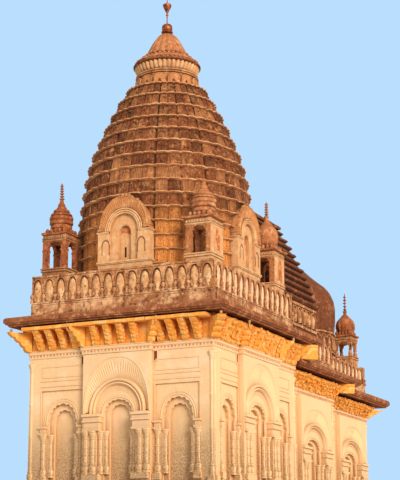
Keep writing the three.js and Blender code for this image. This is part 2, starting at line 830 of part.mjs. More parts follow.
place('sanctum_eave', eaveSlab(SANCTUM, MANDAPA, SANCTUM.start - EAVE_REACH, 0), SLAB);
place('mandapa_eave', eaveSlab(MANDAPA, HALL, MANDAPA.start + GAP, 0), SLAB);
place('hall_eave', eaveSlab(HALL, null, HALL.start + GAP, PLATE_CLEAR), SLAB);

// The parapets of a corner butt: the side ones stop short of the rear and front ones.
const tuck = PARAPET_THICKNESS + GAP + FRONT_SETBACK;
const PARAPET_INSET = { sanctum: tuck, mandapa: GAP, hall: tuck };
for (const section of SECTIONS) {
  const floor = section.eave + EAVE_THICKNESS + GAP;
  const front = parapet(2 * section.half, floor, section.parapet);
  if (section === SANCTUM) {
    place('sanctum_rear_parapet', front, WEATHERED, FACING.rear(section));
  }
  if (section !== MANDAPA) {
    const setback = section === SANCTUM ? FRONT_SETBACK : 0;
    place(`${section.name}_front_parapet`, front, WEATHERED, { y: section.end - setback, turn: Math.PI });
  }
  for (const side of SIDES) {
    const inset = PARAPET_INSET[section.name];
    const row = parapet(section.end - section.start, floor, section.parapet, inset);
    place(`${section.name}_${side}_parapet`, row, WEATHERED, FACING[side](section));
  }
}

place('tower', pocketedTower(), TOWER_STUCCO);
place('tower_neck', towerNeck(), TOWER_STUCCO);
place('tower_amalaka', amalaka(), OCHRE);
place('tower_bell_cap', bellCap(), WEATHERED);
place('tower_finial', towerFinial(), COPPER);
for (const facing of TOWER_FACES) {
  place(`${facing}_aedicule`, atTowerFoot(aedicule(), facing), WEATHERED);
}
for (const [end, sign] of [['rear', -1], ['front', 1]]) {
  for (const [side, across] of [['left', -1], ['right', 1]]) {
    const broken = end === 'rear' && side === 'right';
    const shape = broken ? { ...BIG_CHHATRI, tip: BIG_CHHATRI.bulbTop + 90 } : BIG_CHHATRI;
    const solid = chhatri(shape)
      .translate([across * CHHATRI_OFFSET, TOWER_CENTRE + sign * CHHATRI_OFFSET, 0])
      .subtract(towerEnvelope(GAP));
    place(`${end}_${side}_chhatri`, solid, WEATHERED);
  }
}

place('mandapa_roof_base', roofBase(), DARK_STUCCO);
place('mandapa_stepped_roof', steppedRoof(), DARK_STUCCO);
place('hall_dome_drum', domeDrum(), DARK_STUCCO);
place('hall_dome', dome(), DARK_STUCCO);
for (const [side, across] of [['left', -1], ['right', 1]]) {
  const solid = chhatri(SMALL_CHHATRI)
    .translate([across * SMALL_CHHATRI_OFFSET, HALL.end - HALL.half + SMALL_CHHATRI_OFFSET, 0]);
  place(`hall_${side}_chhatri`, solid, WEATHERED);
}

// The origin lies on the ground below the middle of the whole building.
const rearmost = SANCTUM.start - EAVE_REACH;
const foremost = STEPS_START + STEP_TREAD * STEPS;
temple.position.y = -(rearmost + foremost) / 2;

export default temple;
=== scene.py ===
import json
import random
from math import atan, copysign, cos, pi, radians, sin, sqrt, tau
from types import SimpleNamespace as Sizes

import bpy
from mathutils import Matrix, Vector, noise


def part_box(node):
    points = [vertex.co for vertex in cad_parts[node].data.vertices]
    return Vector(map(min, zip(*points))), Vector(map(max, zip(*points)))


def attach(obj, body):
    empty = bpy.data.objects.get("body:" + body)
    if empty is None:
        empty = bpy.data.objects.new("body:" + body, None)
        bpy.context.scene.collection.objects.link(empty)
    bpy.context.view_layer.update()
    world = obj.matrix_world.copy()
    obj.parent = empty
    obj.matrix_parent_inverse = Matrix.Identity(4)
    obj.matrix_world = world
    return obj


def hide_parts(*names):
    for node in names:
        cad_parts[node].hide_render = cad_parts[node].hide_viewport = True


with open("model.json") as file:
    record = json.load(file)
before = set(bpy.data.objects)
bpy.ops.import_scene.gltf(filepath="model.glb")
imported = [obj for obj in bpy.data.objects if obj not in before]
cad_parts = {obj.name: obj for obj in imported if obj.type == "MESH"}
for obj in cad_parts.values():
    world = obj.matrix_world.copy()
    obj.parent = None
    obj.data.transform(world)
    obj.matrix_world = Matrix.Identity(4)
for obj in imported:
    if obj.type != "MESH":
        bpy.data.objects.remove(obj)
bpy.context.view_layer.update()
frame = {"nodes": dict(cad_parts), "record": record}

# The temple is built in metres with y = 0 on the rear wall, the axis at x = 0 and z = 0 on
# the ground, and then moved to the place that the frame gives.
EAVE_REACH = 0.89
TO_FRAME = Vector((0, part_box("sanctum_eave")[0].y + EAVE_REACH, 0))

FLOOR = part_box("sanctum_rear_wall")[0].z
BAY_OUT = 0.24
NICHE_STEP = 0.17
NICHE_FOOT = 1.9
EAVE_THICK = 0.30
PARAPET_THICK = 0.25
PARAPET_FOOT = 0.80
FRONT_SETBACK = 0.06
MERLON_PITCH = 0.57
TOWER_TOP = 19.89
LEDGE_PITCH = 0.62
RIBS = 40

SANCTUM = Sizes(
    name="sanctum", half=4.25, start=0.0, end=8.7, dentil=7.5, eave=8.74, front=1.6, parapet=1.91)
MANDAPA = Sizes(
    name="mandapa", half=3.75, start=8.7, end=15.1, dentil=6.78, eave=7.76, front=2.1, parapet=1.54)
HALL = Sizes(
    name="hall", half=3.25, start=15.1, end=21.6, dentil=6.53, eave=7.38, front=1.6, parapet=1.72)
for section in (SANCTUM, MANDAPA, HALL):
    section.middle = (section.start + section.end) / 2
    section.bracket_foot = section.dentil + 0.20
    section.shelf = section.eave - 0.225
    section.roof = section.eave + EAVE_THICK

REAR_BAY = Sizes(block=1.55, impost=4.95, half=1.48, rise=2.22, jamb=0.90)
SANCTUM_BAY = Sizes(block=1.95, impost=4.95, half=1.83, rise=2.22, jamb=1.12)
MANDAPA_BAY = Sizes(block=2.00, shift=0.3, impost=4.35, half=1.88, rise=1.75, jamb=1.15)
HALL_BAY = Sizes(block=2.00, shift=0.45, impost=4.25, half=1.88, rise=1.70, jamb=1.15)
TOWER_Y = SANCTUM.middle
TOWER_FLOOR = SANCTUM.roof

noise.seed_set(11)


# Places and outlines

def at(x, y, z=0.0):
    return Matrix.Translation((x, y, z))


def spin(angle, axis="Z"):
    return Matrix.Rotation(angle, 4, axis)


QUARTERS = [spin(i * pi / 2) for i in range(4)]


def front_sign(side):
    """The end of a side wall, seen from outside, that is nearer the front: left or right."""
    return -1 if side == "left" else 1


def facing(section, side):
    """Places a form built facing -y at the origin on one side of a section."""
    if side == "rear":
        return at(0, section.start)
    if side == "front":
        return at(0, section.end) @ spin(pi)
    sign = front_sign(side)
    return at(sign * section.half, section.middle) @ spin(sign * pi / 2)


def face_half(section, side):
    return section.half if side in ("rear", "front") else (section.end - section.start) / 2


def arch_curve(half, spring, rise, steps, power=0.8):
    """Points of a pointed arch from its right springing over the top to the left."""
    curve = []
    for i in range(steps + 1):
        c = cos(pi * i / steps)
        curve.append((copysign(abs(c) ** power, c) * half, spring + rise * sin(pi * i / steps)))
    return curve


def cusped_curve(half, spring, rise, lobes, depth, per_lobe=6):
    """A pointed arch cut into round lobes with cusps that point inwards."""
    steps = lobes * per_lobe
    curve = []
    for i, (x, z) in enumerate(arch_curve(half, 0, rise, steps)):
        k = 1 - depth * (1 - abs(sin(lobes * pi * i / steps)))
        curve.append((x * k, spring + z * k))
    return curve


def square_ring(half, z, shares, lift=0.0):
    """Points round a square, spread over each side by shares, with the corners lifted."""
    return [quarter @ Vector((share * half, -half, z + lift * abs(share) ** 3))
            for quarter in QUARTERS for share in shares]


def fan(centre, outer, inner, shares, face, fall, ridge):
    """Rows from one arch to another, fluted between the first and the last."""
    rows = []
    for share in shares:
        row = []
        for i, ((x0, z0), (x1, z1)) in enumerate(zip(outer, inner)):
            y = face + fall * share - (ridge * (i % 2) if 0 < share < 1 else 0)
            row.append((centre + x0 + (x1 - x0) * share, y, z0 + (z1 - z0) * share))
        rows.append(row)
    return rows


# Forms

class Form:
    """Points and faces of one piece. Its shapes face -y at the origin of its place."""

    def __init__(self, place=Matrix()):
        self.place = place
        self.points = []
        self.faces = []

    def add(self, points, faces, local=None):
        place = self.place @ local if local else self.place
        base = len(self.points)
        self.points += [place @ Vector(p) for p in points]
        self.faces += [tuple(base + i for i in f) for f in faces]

    def strip(self, rows, closed=False, capped=False, local=None):
        """A skin over rows of points that all have the same length."""
        n = len(rows[0])
        last = (len(rows) - 1) * n
        faces = []
        for r in range(0, last, n):
            for i in range(n if closed else n - 1):
                j = (i + 1) % n
                faces.append((r + i, r + j, r + n + j, r + n + i))
        if capped:
            faces += [tuple(reversed(range(n))), tuple(range(last, last + n))]
        self.add([p for row in rows for p in row], faces, local)

    def skin(self, *sections, centre=0.0, closed=False, capped=False, local=None):
        """A skin over outlines of (x, z) points, each at its own depth y."""
        rows = [[(centre + x, y, z) for x, z in outline] for outline, y in sections]
        self.strip(rows, closed, capped, local)

    def prism(self, outline, y0, y1, local=None):
        """An outline of (x, z) points, with its face at y0 and its back at y1."""
        self.skin((outline, y1), (outline, y0), closed=True, capped=True, local=local)

    def block(self, x0, x1, y0, y1, z0, z1, cuts=1, local=None):
        """A block, cut into lengths along x so that it can be worn uneven."""
        rows = []
        for i in range(cuts + 1):
            x = x0 + (x1 - x0) * i / cuts
            rows.append([(x, y0, z0), (x, y1, z0), (x, y1, z1), (x, y0, z1)])
        self.strip(rows, True, True, local)

    def bar(self, x, half, y0, y1, z0, z1, cuts=1, local=None):
        """A block given by its middle and its half width."""
        self.block(x - half, x + half, y0, y1, z0, z1, cuts, local)

    def beside(self, sign, x0, x1, y0, y1, z0, z1, cuts=1):
        """A block between x0 and x1 on the left (-1) or the right (1) of the middle."""
        self.bar(sign * (x0 + x1) / 2, (x1 - x0) / 2, y0, y1, z0, z1, cuts)

    def square(self, half, z0, z1, cuts=1):
        """A square block round the middle."""
        self.block(-half, half, -half, half, z0, z1, cuts)

    def turned(self, profile, sides, local=None, ripple=None):
        """A turned form of (radius, z) points. ripple(angle, z) scales the radius."""
        rows = []
        for r, z in profile:
            row = []
            for i in range(sides):
                a = tau * i / sides
                k = r * ripple(a, z) if ripple else r
                row.append((k * cos(a), k * sin(a), z))
            rows.append(row)
        self.strip(rows, True, True, local)

    def moulding(self, profile, path, step, closed=False):
        """A profile of (out, z) points run along a plan path. Out is to the right of the path."""
        path = [Vector(p) for p in path]
        n = len(path)
        fine = []
        for i in range(n if closed else n - 1):
            a, b = path[i], path[(i + 1) % n]
            cuts = max(1, round((b - a).length / step))
            fine += [a.lerp(b, j / cuts) for j in range(cuts)]
        if not closed:
            fine.append(path[-1])
        m = len(fine)
        rows = []
        for i, p in enumerate(fine):
            before = (p - fine[i - 1]).normalized() if closed or i > 0 else None
            after = (fine[(i + 1) % m] - p).normalized() if closed or i < m - 1 else None
            before, after = before or after, after or before
            n0, n1 = Vector((before.y, -before.x)), Vector((after.y, -after.x))
            out = (n0 + n1).normalized()
            out /= max(0.3, out.dot(n0))
            rows.append([(p.x + out.x * o, p.y + out.y * o, z) for o, z in profile])
        if closed:
            rows.append(rows[0])
        self.strip(rows, True, not closed)

    def roll(self, centre, half, spring, rise, face, radius, steps=28, power=0.8, local=None):
        """A round moulding that follows an arch."""
        rows = []
        for i, (x, z) in enumerate(arch_curve(half, spring, rise, steps, power)):
            a = pi * i / steps
            row = []
            for j in range(6):
                off = radius * cos(pi * j / 5)
                row.append((centre + x + cos(a) * off, face - radius * sin(pi * j / 5), z + sin(a) * off))
            rows.append(row)
        self.strip(rows, local=local)

    def lump(self, x, y, z, size, flat=1.0, local=Matrix()):
        """A small rounded boss."""
        r, h = size * 0.75, size * 0.6
        profile = [(0.0, -size), (r, -h), (size, 0.0), (r, h), (0.0, size)]
        self.turned(profile, 6, local @ at(x, y, z) @ Matrix.Diagonal((1, flat, 1, 1)))

    def beads(self, centre, half, spring, rise, face, size, count, power=0.8):
        """Small beads that follow an arch."""
        for x, z in arch_curve(half, spring, rise, count, power):
            self.lump(centre + x, face, z, size, 0.7)

    def fillet(self, x, half, z, height=0.035):
        self.bar(x, half, -0.03, 0.01, z - height / 2, z + height / 2, 4)

    def frame(self, x, half, z0, z1, width=0.04, out=0.03):
        """A raised rectangular frame on a wall face."""
        for z in (z0, z1):
            self.bar(x, half, -out, 0.01, z - width / 2, z + width / 2, 3)
        for side in (x - half, x + half):
            self.bar(side, width / 2, -out, 0.01, z0, z1)

    def make(self, name, material, slot, replaced=(), wear=0.0, grain=0.9, sharp=38):
        """Turns the form into a piece, worn by a little noise, and fixes it to the building."""
        points = []
        for p in self.points:
            q = p + TO_FRAME
            if wear:
                q = q + noise.noise_vector(p * grain) * wear + noise.noise_vector(p * grain * 4) * wear * 0.4
            points.append(q)
        mesh = bpy.data.meshes.new(name)
        mesh.from_pydata(points, [], self.faces)
        mesh.validate()
        mesh.materials.append(material)
        mesh.shade_smooth()
        mesh.set_sharp_from_angle(angle=radians(sharp))
        piece = bpy.data.objects.new(name, mesh)
        bpy.context.scene.collection.objects.link(piece)
        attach(piece, "root")
        if replaced:
            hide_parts(*replaced)


def forms(count, place=Matrix()):
    return [Form(place) for _ in range(count)]


# Materials

def linear(*tone):
    """A colour given from 0 to 255, for the shader."""
    out = []
    for v in tone:
        v /= 255
        out.append(v / 12.92 if v <= 0.04045 else ((v + 0.055) / 1.055) ** 2.4)
    return (*out, 1.0)


class Nodes:
    """One material, and short names for the nodes that the materials share."""

    def __init__(self, name):
        self.material = bpy.data.materials.new(name)
        self.material.use_nodes = True
        self.tree = self.material.node_tree
        self.tree.nodes.clear()

    def feed(self, socket, value):
        """Gives a socket a number, a colour or the output of another node."""
        if isinstance(value, bpy.types.NodeSocket):
            self.tree.links.new(value, socket)
        else:
            socket.default_value = linear(*value) if isinstance(value, tuple) else value

    def new(self, kind, **values):
        node = self.tree.nodes.new("ShaderNode" + kind)
        for key, value in values.items():
            self.feed(node.inputs[key.replace("_", " ")], value)
        return node

    def noise(self, scale, detail, roughness=0.6, stretch=(1, 1, 1)):
        node = self.new("TexNoise", Scale=scale, Detail=detail, Roughness=roughness)
        mapping = self.new("Mapping", Vector=self.new("TexCoord").outputs["Object"])
        mapping.inputs["Scale"].default_value = stretch
        self.feed(node.inputs["Vector"], mapping.outputs["Vector"])
        return node.outputs["Fac"]

    def ramp(self, value, low, high, kind="SMOOTHSTEP"):
        node = self.new("MapRange", Value=value, From_Min=low, From_Max=high)
        node.interpolation_type = kind
        return node.outputs["Result"]

    def math(self, kind, a, b=0.0):
        node = self.new("Math")
        node.operation = kind
        self.feed(node.inputs[0], a)
        self.feed(node.inputs[1], b)
        return node.outputs["Value"]

    def times(self, a, b):
        return self.math("MULTIPLY", a, b)

    def mix(self, share, a, b, kind="MIX"):
        node = self.new("Mix")
        node.data_type = "RGBA"
        node.blend_type = kind
        for key, value in (("Factor", share), ("A", a), ("B", b)):
            self.feed(node.inputs[key], value)
        return node.outputs["Result"]

    def tint(self, colour, region, share, tone):
        """Lays a tone over the colour of a region."""
        return self.mix(self.times(region, share), colour, tone)

    def finish(self, colour, roughness, height, bump, depth):
        lumps = self.new("Bump", Strength=bump, Distance=depth, Height=height)
        normal = lumps.outputs["Normal"]
        surface = self.new("BsdfPrincipled", Base_Color=colour, Roughness=roughness, Normal=normal)
        self.new("OutputMaterial", Surface=surface.outputs["BSDF"])
        return surface


# Heights between which the stain on the tower's left side fades out upwards.
SIDE_STAIN_FADE = (14.5, 12.5)
# How far the edge of a tinted or a dirty region wanders up and down.
TINT_WANDER = 1.8
DIRT_WANDER = 1.6
DIRT_SHARE = 0.75
# Reach of the ambient occlusion that lays the painted shade in hollows.
HOLLOW_REACH = 0.45
BUMP_DEPTH = 0.05


def masonry(name, base, pale, dark, dust_and_highlight, crevice_shade, bump, pale_share=0.5, dark_share=0.5, patch=1.6,
            streak=0.5, speckle=0.25, blotch=0.0, top_dust_and_highlight=0.5, flutes=0.0, panels=0.0, low_tint=None,
            side_tint=None, dirt=None, side_highlight=None):
    """Lime plaster and stucco: patches, rain streaks, painted shade in crevices, and dust and painted
    highlights on faces that look up.

    A tint holds a low and a high edge, its share and its tone.
    """
    n = Nodes(name)
    broad = n.noise(0.35, 3)
    mottle = n.noise(patch, 7, 0.68)
    fine = n.noise(14, 6, 0.7)
    streaks = n.noise(2.6, 6, 0.65, (1, 1, 0.16))
    colour = n.mix(n.ramp(mottle, 0.62 - 0.3 * pale_share, 0.78 - 0.3 * pale_share), base, pale)
    darker = n.times(n.ramp(broad, 0.35, 0.65), n.ramp(mottle, 0.40, 0.28))
    colour = n.tint(colour, darker, dark_share * 2, dark)
    colour = n.tint(colour, n.ramp(streaks, 0.52, 0.72), streak, dark)
    place = n.new("SeparateXYZ", Vector=n.new("TexCoord").outputs["Object"]).outputs
    if blotch:
        spots = n.noise(5.5, 8, 0.75)
        colour = n.tint(colour, n.ramp(spots, 0.53, 0.64), blotch, dark)
        colour = n.tint(colour, n.ramp(spots, 0.45, 0.36), blotch, pale)
    if panels:
        # Each panel of the tower, between two ribs and two ledges, has a tone of its own.
        turn = n.math("ARCTAN2", n.math("SUBTRACT", place["Y"], TOWER_Y + TO_FRAME.y), place["X"])
        rib = n.math("FLOOR", n.times(turn, RIBS / tau))
        level = n.math("DIVIDE", n.math("SUBTRACT", place["Z"], TOWER_TOP), LEDGE_PITCH)
        cell = n.new("CombineXYZ", X=rib, Y=n.math("FLOOR", level))
        shade = n.new("TexWhiteNoise", Vector=cell.outputs["Vector"]).outputs["Value"]
        colour = n.tint(colour, n.ramp(shade, 0.60, 1.0), panels, pale)
        colour = n.tint(colour, n.ramp(shade, 0.40, 0.0), panels, dark)
    for axis, tint in (("Z", low_tint), ("X", side_tint)):
        if not tint:
            continue
        low, high, share, tone = tint
        wander = n.math("ADD", place[axis], n.times(streaks, TINT_WANDER))
        region = n.times(n.ramp(wander, high, low), n.ramp(fine, 0.28, 0.52))
        if tint is side_tint:
            region = n.times(region, n.ramp(place["Z"], *SIDE_STAIN_FADE))
        colour = n.tint(colour, region, share, tone)
    if dirt:
        low, high, tone = dirt
        specks = n.noise(24, 4)
        wander = n.math("ADD", place["Z"], n.times(mottle, DIRT_WANDER))
        region = n.times(n.ramp(wander, high, low), n.ramp(specks, 0.47, 0.60))
        colour = n.tint(colour, region, DIRT_SHARE, tone)
    normal = n.new("SeparateXYZ", Vector=n.new("NewGeometry").outputs["Normal"]).outputs
    # Painted sunlight: faces that look along x, the side walls, take a lighter tone, as the sun falls more
    # fully on the right side.
    if side_highlight:
        share, tone = side_highlight
        colour = n.tint(colour, n.ramp(n.math("ABSOLUTE", normal["X"]), 0.5, 0.9), share, tone)
    # A tone on faces that look up: dust where it is darker than the base, a painted highlight of the light
    # from above where it is lighter (eave, tower and ledges).
    colour = n.tint(colour, n.ramp(normal["Z"], 0.3, 0.9), top_dust_and_highlight, dust_and_highlight)
    # Painted shade: the dark tone is laid in hollows where ambient occlusion finds them; in the limewash it
    # is warm and also paints the glow of light bounced into the reveals.
    hollow = n.new("AmbientOcclusion", Distance=HOLLOW_REACH)
    hollow.samples = 6
    colour = n.tint(colour, n.ramp(hollow.outputs["AO"], 0.75, 0.25), crevice_shade, dark)
    tone = n.math("ADD", n.times(n.ramp(fine, 0.3, 0.7, "LINEAR"), speckle), 1 - speckle * 0.6)
    grey = n.new("CombineColor", Red=tone, Green=tone, Blue=tone)
    colour = n.mix(1.0, colour, grey.outputs["Color"], "MULTIPLY")
    roughness = n.math("ADD", n.times(fine, 0.1), 0.87)
    relief = n.math("ADD", n.times(mottle, 1.0), n.times(fine, 0.35))
    if flutes:
        lines = n.noise(9, 3, 0.6, (1, 1, 0.07))
        relief = n.math("ADD", relief, n.times(n.ramp(lines, 0.4, 0.6), flutes))
    surface = n.finish(colour, roughness, relief, bump, BUMP_DEPTH)
    surface.inputs["Specular IOR Level"].default_value = 0.2
    return n.material


def copper():
    n = Nodes("aged_copper")
    mottle = n.noise(5, 6, 0.65)
    fine = n.noise(30, 4)
    colour = n.mix(n.ramp(mottle, 0.4, 0.62), (190, 104, 56), (92, 52, 38))
    colour = n.tint(colour, n.ramp(fine, 0.5, 0.75), 0.4, (222, 148, 88))
    roughness = n.math("ADD", n.times(mottle, 0.25), 0.38)
    n.finish(colour, roughness, fine, 0.3, 0.02).inputs["Metallic"].default_value = 0.55
    return n.material


# Each has its main, pale and dark tones, then the tone of faces that look up (dust where darker, a painted
# highlight where lighter), then its wear and its painted shade in hollows.
PLASTER = masonry(
    "limewash", (236, 204, 158), (242, 214, 176), (210, 144, 88), (150, 128, 100), dark_share=0.14, patch=0.8,
    streak=0.16, crevice_shade=0.62, speckle=0.16, bump=0.3, low_tint=(3.4, 6.8, 0.9, (184, 154, 114)),
    dirt=(3.4, 5.6, (104, 76, 54)), top_dust_and_highlight=0.35, side_highlight=(0.7, (246, 216, 166)))
OCHRE = masonry(
    "ochre_limewash", (242, 166, 70), (246, 198, 124), (200, 104, 36), (190, 124, 66), dark_share=0.2,
    patch=3.2, streak=0.12, crevice_shade=0.6, speckle=0.2, bump=0.5, top_dust_and_highlight=0.2)
EAVE = masonry(
    "eave_slab", (150, 92, 58), (208, 146, 100), (62, 34, 24), (190, 134, 92), pale_share=0.4, patch=2.4,
    streak=0.2, crevice_shade=0.8, speckle=0.5, bump=1.0, blotch=0.5)
PARAPET = masonry(
    "parapet_stucco", (184, 126, 80), (232, 180, 130), (74, 42, 28), (128, 86, 58), patch=2.2, streak=0.45,
    crevice_shade=0.95, speckle=0.4, bump=0.9, blotch=0.85)
# Lighter copies of the parapet looks for the side rows, with less painted shade in hollows: painted sunlight
# on the sides.
PARAPET_LIT_SIDE = masonry(
    "parapet_flank", (190, 132, 90), (238, 190, 142), (92, 54, 36), (128, 86, 58), pale_share=0.45, patch=2.4,
    streak=0.3, crevice_shade=0.75, speckle=0.4, bump=0.8, blotch=0.7)
PARAPET_BAND = masonry(
    "parapet_foot", (178, 120, 78), (238, 190, 142), (64, 38, 26), (150, 104, 72), pale_share=0.6,
    dark_share=0.8, patch=1.5, streak=0.9, crevice_shade=0.7, speckle=0.4, bump=0.9, blotch=0.9)
LEAF = masonry(
    "parapet_leaf", (222, 168, 114), (244, 204, 156), (96, 58, 36), (150, 108, 74), patch=2.6, streak=0.55,
    crevice_shade=0.75, speckle=0.35, bump=0.7, blotch=0.8)
LEAF_LIT_SIDE = masonry(
    "parapet_leaf_flank", (244, 200, 152), (250, 220, 182), (130, 80, 52), (160, 116, 84), pale_share=0.55,
    dark_share=0.45, patch=2.6, streak=0.45, crevice_shade=0.5, bump=0.5, blotch=0.5)
TOWER = masonry(
    "tower_stucco", (144, 86, 52), (212, 150, 98), (54, 30, 21), (182, 122, 78), pale_share=0.36,
    dark_share=0.55, patch=1.9, streak=0.6, crevice_shade=1.0, speckle=0.6, bump=1.0, blotch=0.9, panels=0.45,
    flutes=1.0, low_tint=(12.9, 15.2, 1.0, (236, 158, 84)), side_tint=(-3.4, -0.9, 0.9, (62, 44, 35)))
LEDGE = masonry(
    "tower_ledge", (200, 140, 92), (232, 182, 130), (100, 60, 40), (214, 156, 106), patch=2.2, streak=0.35,
    crevice_shade=0.7, speckle=0.4, bump=0.7, blotch=0.6, side_tint=(-3.4, -0.9, 0.6, (96, 62, 44)))
HOOD = masonry(
    "aedicule_hood", (202, 140, 88), (228, 174, 118), (120, 74, 48), (126, 84, 58), pale_share=0.45,
    patch=2.4, streak=0.4, crevice_shade=0.8, speckle=0.35, bump=0.6, blotch=0.45)
GOLDEN = masonry(
    "golden_stucco", (224, 174, 122), (236, 198, 150), (140, 90, 56), (150, 106, 72), dark_share=0.35,
    patch=2.2, streak=0.35, crevice_shade=0.6, bump=0.5, blotch=0.3)
KIOSK = masonry(
    "kiosk_plaster", (192, 126, 82), (228, 172, 120), (96, 54, 36), (150, 102, 70), pale_share=0.42,
    dark_share=0.55, patch=2.8, crevice_shade=0.75, speckle=0.4, bump=0.7, blotch=0.6)
KIOSK_STAINED = masonry(
    "kiosk_stained", (164, 94, 56), (216, 150, 98), (76, 42, 30), (130, 84, 58), pale_share=0.40,
    dark_share=0.6, patch=2.8, crevice_shade=0.8, speckle=0.4, bump=0.8, blotch=0.75)
DOME = masonry(
    "dome_stucco", (122, 72, 46), (186, 128, 88), (56, 34, 25), (112, 72, 50), pale_share=0.34, patch=1.8,
    crevice_shade=0.7, speckle=0.4, bump=0.8, blotch=0.55)
BASE = masonry(
    "plinth_plaster", (192, 156, 118), (210, 178, 142), (120, 90, 66), (126, 102, 80), pale_share=0.4,
    patch=1.4, streak=0.3, crevice_shade=0.5, speckle=0.3, bump=0.5, blotch=0.2)
COPPER = copper()
# Near-black plates that stand in for the shade inside slits: painted shade.
RECESS_SHADE = masonry(
    "dark_recess", (46, 26, 18), (70, 40, 26), (24, 14, 10), (60, 40, 28), streak=0.2, crevice_shade=0.3, bump=0.3)
RED_STAIN = masonry(
    "red_stain", (196, 104, 58), (232, 168, 112), (150, 66, 36), (170, 100, 60), pale_share=0.6, patch=4.0,
    streak=0.4, crevice_shade=0.4, bump=0.4, blotch=0.5)

CAD_LOOKS = {
    "plaster": PLASTER, "ochre_plaster": OCHRE, "eave_stone": EAVE, "weathered_plaster": BASE,
    "parapet_plaster": PARAPET, "tower_stucco": TOWER, "golden_stucco": GOLDEN,
    "kiosk_plaster": KIOSK, "dark_stucco": DOME, "copper": COPPER,
}
for part in frame["record"]["subparts"]:
    for material_slot in frame["nodes"][part["node"]].material_slots:
        material_slot.material = CAD_LOOKS[part["material_slot"]]


# Walls: relief over the plain faces

COLONETTE = [
    (0.0, 0.0), (0.13, 0.0), (0.13, 0.07), (0.10, 0.09), (0.125, 0.20), (0.12, 0.30), (0.075, 0.36),
    (0.095, 0.40), (0.095, 0.43), (0.07, 0.46), (0.07, 0.50),
]
CAPITAL = [
    (0.07, -0.34), (0.09, -0.32), (0.09, -0.29), (0.07, -0.27), (0.10, -0.16), (0.12, -0.12),
    (0.12, -0.08), (0.14, -0.06), (0.14, 0.0), (0.0, 0.0),
]
# Parts of a pilaster: half width, how far out, foot and top.
SIDE_PILASTER = [
    (0.15, 0.12, 4.20, 4.28), (0.11, 0.07, 4.28, 4.46), (0.16, 0.13, 4.46, 4.54), (0.17, 0.14, 2.20, 2.45),
]
# The same for the paired pilasters: how much wider, how far out, foot and top from the cap.
PAIRED_PILASTER = [
    (0.0, 0.12, 0.0, 0.09), (-0.03, 0.05, 0.09, 0.36), (0.02, 0.12, 0.36, 0.43), (0.0, 0.07, 0.43, 0.58),
    (0.03, 0.15, 0.58, 0.68), (0.0, 0.13, -1.97, -1.73),
]
# Section of the two rolls of a centre bay: share of their width, and how far out.
TWIN_ROLL = [
    (0.0, 0.0), (0.0, 0.06), (0.08, 0.13), (0.24, 0.18), (0.42, 0.17), (0.54, 0.12), (0.58, 0.07),
    (0.66, 0.12), (0.82, 0.14), (0.96, 0.09), (1.0, 0.02), (1.0, -0.05),
]
BAY_FLUTES = 44
# Height above the floor, reach and height of each foot moulding.
FOOT_MOULDINGS = [(0.06, 0.14, 0.12), (0.30, 0.09, 0.10), (0.62, 0.06, 0.08)]


def colonette(form, x, y, z0, z1, girth=1.0):
    """A slender engaged column with a pot at its foot and a stepped capital."""
    profile = [(r, z0 + z) for r, z in COLONETTE]
    for share in (0.33, 0.66):
        z = z0 + 0.5 + (z1 - z0 - 0.84) * share
        profile += [(0.07, z - 0.05), (0.085, z - 0.03), (0.085, z + 0.03), (0.07, z + 0.05)]
    profile += [(r, z1 + z) for r, z in CAPITAL]
    form.turned([(r * girth, z) for r, z in profile], 12, at(x, y))


def cusped_plate(form, centre, half, spring, rise, face, depth, lobes=9, foot=NICHE_FOOT, cusp=0.065):
    """Fills an arched recess down to a cusped opening that is a little smaller."""
    outer = arch_curve(half + 0.03, spring, rise + 0.03, lobes * 6)
    inner = cusped_curve(half * 0.98, spring, rise * 0.98, lobes, cusp)
    outer = [(half + 0.03, foot), *outer, (-half - 0.03, foot)]
    inner = [(half * 0.96, foot), *inner, (-half * 0.96, foot)]
    form.skin((outer, face), (inner, face), (inner, face + depth), centre=centre)


def side_bay(form, centre, panel):
    """A narrow bay of the sanctum: cusped niche, jamb shafts, frame and upper panel."""
    sunk, foot, cap, spring, panel_foot = 0.05, 2.45, 4.20, 4.60, 6.04
    cusped_plate(form, centre, 0.70, spring, 0.90, sunk - 0.004, 0.07)
    cusped_plate(form, centre, 0.504, spring - 0.1, 0.748, sunk + NICHE_STEP - 0.004, 0.08, lobes=7)
    for sign in (-1, 1):
        colonette(form, centre + sign * 0.61, sunk + 0.09, foot, cap, 1.1)
        x = centre + sign * min(0.90, panel - 0.01)
        colonette(form, x, sunk - 0.02, foot, cap, 1.2)
        for half, out, z0, z1 in SIDE_PILASTER:
            form.bar(x, half, -out, sunk, z0, z1)
    form.bar(centre, panel, -0.12, sunk, NICHE_FOOT - 0.1, NICHE_FOOT + 0.03, 4)
    # Rolls and beads round the niche arch.
    form.roll(centre, 0.77, spring, 0.97, sunk, 0.035)
    form.roll(centre, 0.86, spring, 1.06, sunk, 0.022)
    form.beads(centre, 0.64, spring + 0.04, 0.96, sunk, 0.028, 18)
    form.fillet(centre, panel, panel_foot, 0.04)
    for x in (centre - panel, centre + panel):
        form.bar(x, 0.02, -0.03, 0.01, cap + 0.34, panel_foot)
    for z in (6.20, 6.43):
        form.fillet(centre, panel + 0.03, z)
    form.frame(centre, panel - 0.03, 6.58, 7.02, 0.035, 0.025)


def hood(form, centre, impost, half, rise, torus, torus_rise, face, depth):
    """The splayed and fluted fan over a bay, from its outer arch in to the round moulding."""
    steps = 2 * BAY_FLUTES
    outer = arch_curve(half, impost, rise, steps)
    inner = arch_curve(torus, impost + 0.10, torus_rise, steps, 1.0)
    form.strip(fan(centre, outer, inner, (0.0, 0.08, 0.3, 0.6, 0.85, 1.0), face, depth, 0.028))


